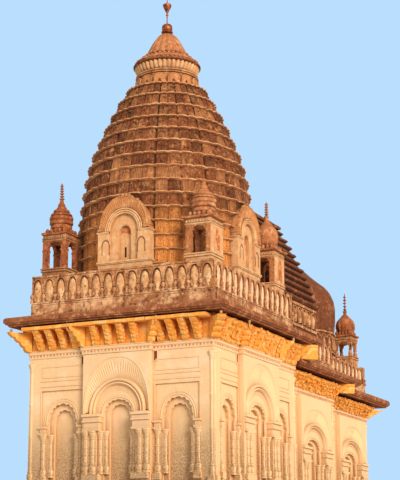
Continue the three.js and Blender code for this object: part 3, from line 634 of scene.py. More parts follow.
def torus_arch(form, centre, radius, inner, spring, rise, face):
    """Two rolls side by side that frame the niche of a centre bay."""
    steps = 36
    width = radius - inner
    rows = []
    for i in range(steps + 1):
        c, s = cos(pi * i / steps), sin(pi * i / steps) * rise / radius
        rounds = [(radius - width * share, out) for share, out in TWIN_ROLL]
        rows.append([(centre + r * c, face - out, spring + r * s) for r, out in rounds])
    form.strip(rows)
    for sign in (-1, 1):
        jamb = [(centre + sign * (radius - width * share), face - out) for share, out in TWIN_ROLL]
        form.strip([[(x, y, z) for x, y in jamb] for z in (spring, spring - 0.30)])


def centre_bay(form, bay, centre):
    """The middle bay of a face: niche, rolls, fan, imposts and paired pilasters."""
    face = -BAY_OUT
    back = face + 0.20
    impost, half, rise, jamb, block = bay.impost, bay.half, bay.rise, bay.jamb, bay.block
    torus, torus_rise = half * 0.88, rise * 0.60
    inner = half * 0.69
    hood(form, centre, impost, half, rise, torus, torus_rise, face, 0.17)
    torus_arch(form, centre, torus, inner, impost + 0.10, torus_rise, back)
    spring, niche_rise, niche_half = impost - 0.10, rise * 0.30, jamb * 0.76
    for shrink in (0.07, 0.14, 0.21):
        r = inner - shrink
        form.roll(centre, r, impost + 0.10, r * torus_rise / torus, back, 0.02, 28, 1.0)
    cusped_plate(form, centre, niche_half, spring, niche_rise, back - 0.004, 0.07)
    cusped_plate(form, centre, niche_half * 0.72, spring - 0.10, niche_rise * 0.72 + 0.10,
                 back + NICHE_STEP - 0.004, 0.08, lobes=7)
    form.roll(centre, niche_half + 0.07, spring, niche_rise + 0.07, back, 0.04)
    form.roll(centre, half + 0.03, impost, rise + 0.03, face, 0.025, 40)
    foot, cap = impost - 2.45, impost - 0.72
    pier = (block - jamb + 0.11) / 2
    for sign in (-1, 1):
        colonette(form, centre + sign * niche_half * 0.87, back + 0.09, foot, cap, 1.1)
        colonette(form, centre + sign * (niche_half + 0.12), back - 0.03, foot, cap, 1.2)
        for x in (jamb + 0.17, min(jamb + 0.50, block - 0.16)):
            colonette(form, centre + sign * x, face + 0.01, foot, cap, 1.3)
        for grow, out, z0, z1 in PAIRED_PILASTER:
            form.bar(centre + sign * (block - 0.05 - pier), pier + grow, face - out, back, cap + z0, cap + z1)
    form.bar(centre, block, face - 0.12, back, NICHE_FOOT - 0.1, NICHE_FOOT + 0.03, 5)
    form.beads(centre, niche_half + 0.15, spring, niche_rise + 0.15, back, 0.03, 20)


def corner_shaft(form, x, top):
    colonette(form, x, 0.02, 2.3, top, 0.95)
    form.bar(x, 0.14, -0.14, 0.02, 1.95, 2.3)


def bay_path(half, block, centre=0):
    """The line of a wall face, taken round its centre bay."""
    left, right = centre - block, centre + block
    return [(-half, 0), (left, 0), (left, -BAY_OUT), (right, -BAY_OUT), (right, 0), (half, 0)]


def wall_mouldings(form, half, block, centre):
    for up, out, height in FOOT_MOULDINGS:
        z0, z, z1 = (FLOOR + up + height * share for share in (-0.5, 0, 0.5))
        profile = [(-0.02, z0), (out, z0), (out + 0.02, z), (out, z1), (-0.02, z1)]
        form.moulding(profile, bay_path(half, block, centre), step=1.5)


def sanctum_relief(side):
    form, dark = forms(2, facing(SANCTUM, side))
    bay = REAR_BAY if side == "rear" else SANCTUM_BAY
    panel_centre, panel = (2.65, 1.0) if side == "rear" else (2.85, 0.85)
    half = face_half(SANCTUM, side)
    centre_bay(form, bay, 0)
    for end in (-1, 1):
        side_bay(form, end * panel_centre, panel)
        # A narrow slot with a thin raised frame; a dark plate inside it is painted shade.
        x, top = end * (bay.block + 0.12), SANCTUM.dentil - 0.12
        form.frame(x, 0.09, top - 0.42, top, 0.03)
        dark.bar(x, 0.07, -0.006, 0.02, top - 0.40, top - 0.02)
        corner_shaft(form, end * (half - 0.11), SANCTUM.dentil - 0.30)
    wall_mouldings(form, half, bay.block, 0)
    form.make("sanctum_%s_relief" % side, PLASTER, "plaster", wear=0.006)
    dark.make("sanctum_%s_slits" % side, DOME, "plaster")


def lower_relief(section, bay, side):
    """Relief of a side wall of the middle or the front hall."""
    form = Form(facing(section, side))
    sign = front_sign(side)
    centre = sign * bay.shift
    half = face_half(section, side)
    centre_bay(form, bay, centre)
    top = section.dentil - 0.10
    edge = bay.block + 0.08
    for a, b in ((-half + 0.12, centre - edge), (centre + edge, half - 0.12)):
        mid, wide = (a + b) / 2, (b - a) / 2
        form.frame(mid, wide, 2.6, top - 1.25)
        form.frame(mid, wide, top - 1.10, top - 0.72, 0.035, 0.025)
        for z in (top - 0.60, top - 0.34):
            form.fillet(mid, wide, z)
        small = min(0.45, wide - 0.12)
        form.roll(mid, small, top - 2.35, small * 1.3, 0, 0.05, 20)
        form.roll(mid, small * 0.68, top - 2.40, small, 0, 0.035, 20)
        for s in (-1, 1):
            colonette(form, mid + s * small, 0.02, 2.45, top - 2.35)
    corner_shaft(form, sign * (half - 0.12), top - 0.10)
    wall_mouldings(form, half, bay.block, centre)
    form.make("%s_%s_relief" % (section.name, side), PLASTER, "plaster", wear=0.006)


# Bracket courses under the eaves

STRING_SECTION = [
    (-0.03, -0.11), (0.03, -0.11), (0.045, -0.07), (0.05, 0.05), (0.085, 0.07), (0.095, 0.13), (0.07, 0.17),
    (0.10, 0.19), (0.10, 0.215), (-0.03, 0.215),
]
PENDANT = [
    (0.0, -0.34), (0.02, -0.30), (0.05, -0.22), (0.03, -0.16), (0.06, -0.10), (0.06, -0.04), (0.03, 0.0),
    (0.0, 0.0),
]
TOOTH_PITCH = 0.16


def scroll_outline(z0, z1, reach, root, depth=0.045):
    """Side view of a scrolled bracket: (-out, z) points from foot to tip."""
    lobes = 4
    steps = lobes * 6
    points = [(-root, z0)]
    for i in range(steps + 1):
        v = i / steps
        out = 0.14 + 0.78 * v ** 1.3 + depth * abs(sin(lobes * pi * v))
        points.append((-root - (reach - root) * min(1.0, out), z0 + (z1 - z0) * v * 0.98))
    return [*points, (-reach, z1), (-root, z1)]


def scroll_bracket(form, x, width, z0, z1, reach, root, rng, loose):
    """An S-curved bracket with plump, irregular carving down its front and its sides."""
    local = at(x, 0) @ spin(pi / 2)
    if loose:
        reach *= rng.uniform(0.92, 1.0)
        local = local @ spin(rng.uniform(-0.10, 0.10))
    form.prism(scroll_outline(z0, z1, reach, root), -width / 2, width / 2, local)
    rows = 5
    for i in range(rows):
        v = (i + 0.6) / rows
        out = root + (reach - root) * (0.12 + 0.78 * v ** 1.3)
        z = z0 + (z1 - z0) * (v + rng.uniform(-0.03, 0.03))
        if loose:
            for off in (-0.36, 0.02, 0.36):
                form.lump(-out + rng.uniform(-0.03, 0.05), (off + rng.uniform(-0.12, 0.12)) * width,
                          z + rng.uniform(-0.06, 0.06), rng.uniform(0.045, 0.095), local=local)
        else:
            form.lump(0, 0, 0, 0.082, local=local @ at(-out, 0, z) @ Matrix.Diagonal((0.9, 1.75, 0.9, 1)))
            form.lump(-out - 0.05, rng.uniform(-0.03, 0.03), z + 0.01, 0.045, local=local)
    knobs = 12 if loose else 6
    for side in (-1, 1):
        for i in range(knobs):
            v = 0.12 + 0.82 * (i + rng.random()) / knobs
            out = root + (reach - root) * rng.uniform(0.10, 0.12 + 0.72 * v ** 1.3)
            form.lump(-out, side * width / 2, z0 + (z1 - z0) * v, rng.uniform(0.045, 0.085), 0.55, local)


def corner_bracket(form, x, y, angle, section, reach, width=0.30):
    """A broad plain bracket set out from a corner, with a knobbed and scalloped lower edge."""
    turn = at(x, y) @ spin(angle + pi / 2)
    outline = scroll_outline(section.bracket_foot, section.shelf, reach - 0.03, -0.02, 0.08)
    form.prism(outline, -width / 2, width / 2, turn)
    for edge, z in outline[3:-3:3]:
        for side in (-1, 1):
            form.lump(edge + 0.03, side * (width / 2 - 0.04), z, 0.05, local=turn)


def front_corner(form, x, sign, section, foot):
    """A plain upright plate set out from a front corner, and a small bracket beside it."""
    turn = at(x, 0) @ spin(sign * pi / 4)
    top = section.eave - 0.01
    form.bar(0, 0.12, -1.15, 0.05, foot, top, local=turn)
    form.bar(0, 0.15, -1.15, 0.05, top - 0.10, top, local=turn)
    corner_bracket(form, x - sign * 0.30, 0, sign * pi / 8, section, 0.92, 0.22)


def bracket_run(form, x0, x1, face, section, count, clear, shelf_reach, rng):
    """Backing, brackets and the flat shelf over them between two stops on one face."""
    foot, shelf = section.bracket_foot, section.shelf
    form.block(x0, x1, face - 0.04, face + 0.06, foot, section.eave - 0.005, 6)
    form.block(x0, x1, face - shelf_reach, 0.02, shelf, shelf + 0.13, 8)
    start = x0 + clear[0]
    step = (x1 - clear[1] - start) / count
    loose = shelf_reach < 0.5
    width = 0.30 if loose else 0.28
    for i in range(count):
        scroll_bracket(form, start + step * (i + 0.5), width, foot, shelf, 0.76, 0.02 - face, rng, loose)


def string_course(band, dots, path, section):
    """The pale band under the brackets with its row of small red-brown teeth."""
    z = section.dentil
    band.moulding([(out, z + up) for out, up in STRING_SECTION], path, step=0.5)
    for (x0, face), (x1, _) in zip(path, path[1:]):
        if x0 == x1:
            continue
        count = max(1, round((x1 - x0) / TOOTH_PITCH))
        step = (x1 - x0) / count
        for i in range(count):
            c = x0 + step * (i + 0.5)
            w = step * 0.32
            dots.prism([(c - w, z + 0.035), (c, z - 0.045), (c + w, z + 0.035)], face - 0.058, face)


def make_brackets(section, side, form, band, dots):
    name = "%s_%s_bracket" % (section.name, side)
    form.make(name + "_course", OCHRE, "ochre_plaster", [name + "s"], wear=0.014, grain=2.4, sharp=55)
    band.make(name + "_string", PLASTER, "ochre_plaster", wear=0.008)
    dots.make(name + "_dentils", RED_STAIN, "ochre_plaster")


def sanctum_brackets(side):
    form, band, dots, drops = forms(4, facing(SANCTUM, side))
    rng = random.Random(len(side))
    rear = side == "rear"
    bay = (REAR_BAY if rear else SANCTUM_BAY).block
    half = face_half(SANCTUM, side)
    shelf, wing, middle = (0.78, 4, 4) if rear else (0.40, 5, 8)
    bracket_run(form, -half, -bay - 0.02, 0, SANCTUM, wing, (0.34, 0.12), shelf, rng)
    bracket_run(form, -bay, bay, -BAY_OUT, SANCTUM, middle, (0.34, 0.34), shelf - 0.2, rng)
    bracket_run(form, bay + 0.02, half, 0, SANCTUM, wing, (0.12, 0.34), shelf, rng)
    string_course(band, dots, bay_path(half, bay), SANCTUM)
    corners = []
    for sign in (-1, 1):
        form.bar(sign * (bay - 0.03), 0.03, -BAY_OUT, 0.06, SANCTUM.bracket_foot, SANCTUM.eave - 0.005)
        corner_bracket(form, sign * bay, -BAY_OUT, sign * pi / 4, SANCTUM, 0.75)
        corners.append((sign * (bay + 0.50), -BAY_OUT - 0.50))
        if rear:
            corner_bracket(form, sign * half, 0, sign * pi / 4, SANCTUM, 1.04, 0.36)
            corners.append((sign * (half + 0.60), -0.60))
        elif sign == front_sign(side):
            front_corner(form, sign * half, sign, SANCTUM, MANDAPA.roof + 0.01)
    top = SANCTUM.shelf + 0.16
    for x, y in corners:
        drops.turned([(r, top + z) for r, z in PENDANT], 8, at(x, y))
    make_brackets(SANCTUM, side, form, band, dots)
    drops.make("sanctum_%s_bracket_pendants" % side, LEAF, "ochre_plaster")


def lower_brackets(section, side):
    form, band, dots = forms(3, facing(section, side))
    rng = random.Random(len(side) + len(section.name))
    half = face_half(section, side)
    if side == "front":
        x0, x1 = -half, half
        bracket_run(form, x0, x1, 0, section, 10, (0.3, 0.3), 0.40, rng)
    else:
        sign = front_sign(side)
        x0, x1 = sorted((-sign * (half - 0.005), sign * half))
        clear = (0.0, 0.34) if sign > 0 else (0.34, 0.0)
        bracket_run(form, x0, x1, 0, section, 13, clear, 0.40, rng)
        if section is HALL:
            corner_bracket(form, sign * half, 0, sign * pi / 4, section, 1.02)
        else:
            front_corner(form, sign * half, sign, section, 7.30)
    string_course(band, dots, [(x0, 0), (x1, 0)], section)
    make_brackets(section, side, form, band, dots)


# Eaves: a thin drip slab under a rounded coping, along the outer edge of each slab

EAVE_SECTION = [
    (-0.36, 0.0), (-0.20, 0.0), (-0.19, 0.05), (-0.10, 0.09), (-0.09, 0.13), (-0.035, 0.15), (-0.03, 0.24),
    (-0.045, 0.32), (-0.10, 0.38), (-0.40, 0.41), (-0.55, 0.30),
]


def eave_slab(section, right):
    """One slab: a drip ledge below, a dark groove, and a rounded, worn coping on top."""
    path = [Vector(p) for p in right + [(-x, y) for x, y in reversed(right)]]
    outward, fine = [], []
    for i, (a, b) in enumerate(zip(path, path[1:] + path[:1])):
        leg = (b - a).normalized()
        outward.append(Vector((leg.y, -leg.x)))
        cuts = max(1, round((b - a).length / 0.32))
        fine += [(a.lerp(b, j / cuts), i, j) for j in range(cuts) if j == 0 or 1 < j < cuts - 1]
    rows = []
    for out, up in EAVE_SECTION:
        row = []
        for p, leg, j in fine:
            shift = outward[leg - 1] + outward[leg] if j == 0 else outward[leg]
            row.append((*(p + shift * out), section.eave + up))
        rows.append(row)
    form = Form()
    form.strip(rows, True, True)
    name = section.name + "_eave"
    form.make(name + "_slab", EAVE, "eave_stone", [name], wear=0.016, grain=1.6)


def eaves():
    for section, ahead, start in ((SANCTUM, MANDAPA, -EAVE_REACH), (MANDAPA, HALL, MANDAPA.start)):
        reach, front = section.half + EAVE_REACH, section.end + section.front
        inner = ahead.half + 0.2
        eave_slab(section, [(reach, start), (reach, front), (inner, front), (inner, section.end)])
    reach, front = HALL.half + EAVE_REACH, HALL.end + HALL.front
    inner, clear = HALL.half - 0.02, HALL.start + 1.05
    eave_slab(HALL, [(inner, HALL.start), (inner, clear), (reach, clear), (reach, front)])


# Parapets: a plinth, then a row of arched niches with a pale leaf in each

# Half width and height share of a leaf, from its pot-like foot to its pointed tip.
LEAF_OUTLINE = [
    (0.13, 0.0), (0.135, 0.06), (0.075, 0.10), (0.055, 0.17), (0.10, 0.22), (0.105, 0.26), (0.09, 0.30),
    (0.16, 0.38), (0.198, 0.48), (0.205, 0.62), (0.19, 0.76), (0.14, 0.88), (0.075, 0.95), (0.004, 1.0),
]
LEAF_SHARES = (-1, -0.8, -0.45, 0, 0.45, 0.8, 1)


def parapet_leaf(form, c, foot, tip, back):
    """A flat leaf with a rounded face, standing on a narrow stem."""
    rows = []
    for width, up in LEAF_OUTLINE:
        z = foot + (tip - foot) * up
        crown = 0.035 + 0.02 * min(1.0, width / 0.15)
        rows.append([(c + width * s, back - crown * (1 - abs(s) ** 3), z) for s in LEAF_SHARES])
    form.strip(rows)


def parapet_row(section, side, inset=0.0, setback=0.0):
    niches, band, leaves = forms(3, facing(section, side) @ at(0, setback))
    floor = section.roof
    top = floor + section.parapet
    base = floor + (PARAPET_FOOT if section.parapet > 1.6 else 0.62)
    across = side in ("rear", "front")
    half = face_half(section, side) - inset
    count = round(2 * half / MERLON_PITCH)
    pitch = 2 * half / count
    thick = PARAPET_THICK
    # Plinth of the parapet, with a projecting middle third.
    band.bar(0, half, -0.03, thick, floor, base - 0.02, 14)
    for z, out, high in ((floor + 0.10, 0.06, 0.16), (base - 0.14, 0.05, 0.06), (base - 0.05, 0.055, 0.07)):
        band.bar(0, half, -out, thick * 0.5, z - high / 2, z + high / 2, 16)
    if across:
        band.bar(0, half * 0.31, -0.07, 0, floor + 0.05, base - 0.18, 4)
    # The wall, its arched frames, and a pot between each two leaves.
    back, skirt = 0.07, base + (top - base) * 0.34
    wall_top = top - 0.02 if across else top - 0.34
    niches.bar(0, half, back, thick - 0.02, base - 0.02, wall_top, 12)
    spring, rise, arch_half = top - 0.52, 0.38, pitch * 0.39
    curve = arch_curve(arch_half, spring, rise, 12, 0.85)
    edges = [top - 0.07 if across else min(top - 0.02, z + 0.16) for x, z in curve]
    outer = [(max(-1, min(1, x / arch_half)) * pitch / 2, edge) for (x, z), edge in zip(curve, edges)]
    inner = [(arch_half, skirt), *curve, (-arch_half, skirt)]
    outer = [(pitch / 2, skirt), *outer, (-pitch / 2, skirt)]
    pot = [(0.0, base - 0.02), (0.085, base - 0.02), (0.10, base + 0.05), (0.05, base + 0.12),
           (0.085, base + 0.19), (0.10, base + 0.26), (0.05, skirt - 0.02), (0.0, skirt)]
    for i in range(count):
        c = -half + pitch * (i + 0.5)
        for ends in ((outer[0], inner[0]), (inner[-1], outer[-1])):
            niches.skin((ends, back), (ends, 0.0), centre=c)
        niches.skin((outer, 0.0), (inner, 0.0), (inner, back), centre=c)
        niches.roll(c, arch_half + 0.015, spring, rise + 0.02, 0.0, 0.026, 12, 0.85)
        parapet_leaf(leaves, c, base, spring + rise * 0.86, back)
        niches.turned(pot, 9, at(c - pitch / 2, 0.045))
    if across:
        niches.bar(0, half, -0.03, thick, top - 0.07, top - 0.03, 22)
        niches.bar(0, half, -0.01, thick - 0.02, top - 0.03, top + 0.01, 22)
    name = "%s_%s_parapet" % (section.name, side)
    # The side rows take the lighter copies: painted sunlight.
    frame_look, leaf_look = (PARAPET, LEAF) if across else (PARAPET_LIT_SIDE, LEAF_LIT_SIDE)
    niches.make(name + "_frame", frame_look, "parapet_plaster", [name], wear=0.022, grain=1.6)
    band.make(name + "_foot", PARAPET_BAND, "parapet_plaster", wear=0.018, grain=1.4)
    leaves.make(name + "_leaves", leaf_look, "parapet_plaster", wear=0.014, grain=2.0, sharp=60)


def parapets():
    tuck = PARAPET_THICK + 0.06
    parapet_row(SANCTUM, "rear")
    parapet_row(SANCTUM, "front", setback=FRONT_SETBACK)
    parapet_row(HALL, "front")
    for side in ("left", "right"):
        parapet_row(SANCTUM, side, tuck)
        parapet_row(MANDAPA, side)
        parapet_row(HALL, side, tuck)


# The tower

TOWER_CURVE = [
    (9.04, 3.86), (11.9, 3.86), (13.0, 3.84), (14.35, 3.70), (15.6, 3.53), (16.2, 3.38), (16.9, 3.17),
    (17.7, 2.83), (18.3, 2.57), (19.05, 2.22), (19.6, 1.89), (20.1, 1.58),
]
LEDGE_SECTION = [(-0.03, -0.10), (0.05, -0.085), (1.0, -0.045), (1.06, -0.015), (0.9, 0.008), (-0.03, 0.02)]
LEDGE_REACH = 0.13
GROOVES = (-0.07, -0.03, -0.045, -0.03)
RIB_STEPS = 8
# Every step round the tower: its rib, its share of the rib's width, and its angle.
TOWER_STEPS = [(rib, step / RIB_STEPS, tau * (rib + step / RIB_STEPS) / RIBS)
               for rib in range(RIBS) for step in range(RIB_STEPS)]
POCKET_DEPTH = 3.15
POCKET_SPRING = 12.7
POCKET_RISE = 1.05
PLAIN_TOP = 14.2
# Shares of the panels up to which they have an arched roll, and then knobs.
ROLLED_SHARE = 0.40
KNOBBED_SHARE = 0.62
AEDICULE_CLEAR = 1.45


def tower_radius(z):
    for (z0, r0), (z1, r1) in zip(TOWER_CURVE, TOWER_CURVE[1:]):
        if z <= z1:
            return r0 + (r1 - r0) * max(0.0, z - z0) / (z1 - z0)
    return TOWER_CURVE[-1][1]


def shell_point(a, r, z):
    """A point of the tower's skin, held back where an aedicule is let in."""
    x, y = r * cos(a), r * sin(a)
    above = max(0.0, (z - POCKET_SPRING) / POCKET_RISE)
    opening = sqrt(max(0.0, 1 - above ** 2))
    if abs(x) < opening and abs(y) > POCKET_DEPTH:
        y = copysign(POCKET_DEPTH, y)
    elif abs(y) < opening and abs(x) > POCKET_DEPTH:
        x = copysign(POCKET_DEPTH, x)
    return x, y + TOWER_Y, z


def ledge_levels():
    levels = []
    z = TOWER_TOP
    while z > TOWER_FLOOR + 0.3:
        levels.append(z)
        z -= LEDGE_PITCH
    return levels[::-1]


def tower(levels):
    """Shell of 40 ribs with grooves between them, ringed by thin scalloped ledges."""
    shell, rings = forms(2)
    heights = [TOWER_FLOOR]
    for level in levels:
        start = heights[-1]
        heights += [start + (level - start) * share for share in (0.12, 0.5, 0.88, 1.0)]
    rows = []
    for z in heights:
        row = []
        for rib, u, a in TOWER_STEPS:
            groove = GROOVES[rib % 4] if u == 0 else 0.0
            worn = 0.02 * noise.noise(Vector((rib * 1.7, z * 2.1, 0.3)))
            row.append(shell_point(a, tower_radius(z) + 0.07 * u * (1 - u) + groove + worn, z))
        rows.append(row)
    shell.strip(rows, True, True)
    for level in levels:
        rows = []
        for out, up in LEDGE_SECTION:
            lip = out > 0.5
            row = []
            for rib, u, a in TOWER_STEPS:
                worn = noise.noise(Vector((cos(a) * 6, sin(a) * 6, level * 3)))
                reach = LEDGE_REACH * (0.45 if worn > 0.40 else 0.85 + 0.15 * worn)
                scallop = 0.24 * u * (1 - u) if lip else 0.0
                drop = 0.025 if lip and u == 0 else 0.0
                row.append(shell_point(a, tower_radius(level) + reach * out + scallop, level + up - drop))
            rows.append(row)
        rings.strip(rows, True)
    shell.make("banded_tower", TOWER, "tower_stucco", ["tower"], wear=0.02, grain=1.3, sharp=25)
    rings.make("tower_ledges", LEDGE, "tower_stucco", wear=0.016, grain=1.8, sharp=50)


def on_tower(angle, z, sunk):
    """A place in the tower's skin, facing out."""
    return at(0, TOWER_Y) @ spin(angle + pi / 2) @ at(0, sunk - tower_radius(z))


def tower_panels(levels):
    """Worn relief in the panels, and a few thin upright strips below."""
    form, strips = forms(2)
    rng = random.Random(5)
    for low, high in zip(levels, levels[1:]):
        radius = tower_radius(low)
        width = radius * tau / RIBS
        lean = atan((tower_radius(high) - radius) / (high - low))
        for rib in range(RIBS):
            a = tau * (rib + 0.5) / RIBS
            kind = rng.random()
            if low > PLAIN_TOP and kind < ROLLED_SHARE:
                size = width * rng.uniform(0.30, 0.38)
                place = on_tower(a, low + 0.25, 0.012)
                form.roll(0, size, low + 0.22, size * 1.1, 0.0, 0.022, 8, local=place)
            elif low > PLAIN_TOP and kind < KNOBBED_SHARE:
                place = on_tower(a, low + 0.25, 0.01)
                for _ in range(4):
                    form.lump(rng.uniform(-0.36, 0.36) * width, 0.0, low + rng.uniform(0.08, 0.42),
                              rng.uniform(0.02, 0.05), 0.6, place)
            edge = tau * rib / RIBS
            from_aedicule = abs(sin(edge - round(edge / (pi / 2)) * pi / 2)) * radius
            if low < PLAIN_TOP and rib % 5 == 1 and from_aedicule > AEDICULE_CLEAR:
                place = on_tower(edge, low, 0.02) @ at(0, 0, low) @ spin(lean, "X") @ at(0, 0, -low)
                strips.bar(0, 0.026, -0.05, 0.08, low, high, local=place)
    form.make("tower_panel_relief", TOWER, "tower_stucco", wear=0.02, grain=2.0)
    strips.make("tower_strips", LEDGE, "tower_stucco", wear=0.012, grain=2.0)


NECK = [
    (0.0, 19.84), (1.62, 19.84), (1.66, 19.92), (1.52, 19.96), (1.38, 20.05), (1.31, 20.40), (1.34, 20.50),
    (1.42, 20.52), (1.44, 20.56), (1.36, 20.59), (1.42, 20.63), (1.42, 20.67), (1.25, 20.70), (0.0, 20.70),
]
DISC = [
    (0.0, 20.69), (1.20, 20.69), (1.28, 20.73), (1.36, 20.83), (1.43, 20.96), (1.46, 21.08), (1.44, 21.10),
    (0.0, 21.10),
]
RIM = [(0.0, 21.08), (1.50, 21.08), (1.54, 21.11), (1.54, 21.16), (1.46, 21.20), (0.0, 21.22)]
CAP_FOOT = [
    (0.0, 21.18), (1.46, 21.19), (1.42, 21.24), (1.34, 21.34), (1.28, 21.38), (1.26, 21.44), (1.10, 21.54),
    (1.02, 21.58), (0.99, 21.62), (0.90, 21.66),
]
CAP_BELL = [
    (0.98, 21.62), (0.93, 21.72), (0.84, 21.90), (0.75, 22.08), (0.66, 22.26), (0.56, 22.44), (0.45, 22.60),
    (0.36, 22.70), (0.27, 22.77), (0.0, 22.79),
]
# Rings of beads on the cap: how many, their radius, height and size.
CAP_BEADS = [(44, 1.40, 21.30, 0.070), (36, 1.16, 21.50, 0.075), (28, 0.98, 21.68, 0.07)]
POT = [
    (0.0, 22.78), (0.09, 22.78), (0.10, 22.84), (0.26, 22.87), (0.275, 22.91), (0.24, 22.94), (0.20, 22.96),
    (0.235, 23.0), (0.245, 23.12), (0.225, 23.22), (0.16, 23.28), (0.05, 23.31), (0.03, 23.33),
    (0.025, 23.70), (0.06, 23.73), (0.06, 23.77), (0.03, 23.80), (0.05, 23.86), (0.10, 23.98), (0.16, 24.10),
    (0.20, 24.20), (0.19, 24.27), (0.10, 24.32), (0.04, 24.34), (0.022, 24.37), (0.014, 24.99), (0.0, 25.0),
]


def crown():
    neck, scallops, dark, disc, cap, rim, pot = forms(7, at(0, TOWER_Y))
    neck.turned(NECK, 72)
    arches, radius, foot, spring = 14, 1.33, 19.96, 20.14
    leaf = [(0.28, foot), *arch_curve(0.28, spring, 0.32, 14, 0.85), (-0.28, foot)]
    recess = [(0.07, 20.0), (0.07, 20.12), (0.0, 20.22), (-0.07, 20.12), (-0.07, 20.0)]
    for i in range(arches):
        local = spin(tau * (i + 0.5) / arches) @ at(0, -radius)
        scallops.prism(leaf, -0.09, 0.1, local)
        scallops.roll(0, 0.26, spring, 0.30, -0.09, 0.024, 12, 0.85, local)
        # A dark prism at the foot of each arch: painted shade of a small niche.
        dark.prism(recess, -0.10, -0.05, local)
    neck.make("tower_neck_niches", LEDGE, "tower_stucco", ["tower_neck"], wear=0.012)
    scallops.make("tower_neck_scallops", HOOD, "tower_stucco", wear=0.012)
    dark.make("tower_neck_recesses", DOME, "tower_stucco")
    flutes = 42
    disc.turned(DISC, flutes * 6, ripple=lambda a, z: 1 + 0.06 * (abs(cos(flutes * a / 2)) - 0.7))
    disc.make("fluted_disc", GOLDEN, "golden_stucco", ["tower_amalaka"], wear=0.008, sharp=60)
    rim.turned(RIM, 96)
    cap.turned(CAP_FOOT, 96)
    petals = 16
    cap.turned(CAP_BELL, 96, ripple=lambda a, z: 0.96 + 0.08 * abs(sin(petals * a / 2)))
    for count, r, z, size in CAP_BEADS:
        for i in range(count):
            cap.lump(0, -r, z, size * (0.8 + 0.1 * (i * 7 % 5)), local=spin(tau * i / count))
    cap.make("petalled_cap", KIOSK, "tower_stucco", ["tower_bell_cap"], wear=0.010)
    rim.make("crown_rim", DOME, "tower_stucco", wear=0.010)
    pot.turned(POT, 28)
    pot.make("copper_pot_finial", COPPER, "copper", ["tower_finial"])


# Aedicules at the foot of the tower

AEDICULE = Sizes(
    half=1.22, foot=11.34, cornice=12.54, shoulder=12.64, depth=0.46, hood_half=1.15, hood_rise=1.44)
SMALL_ARCH = 12.02
NICHE_ARCH = 12.44


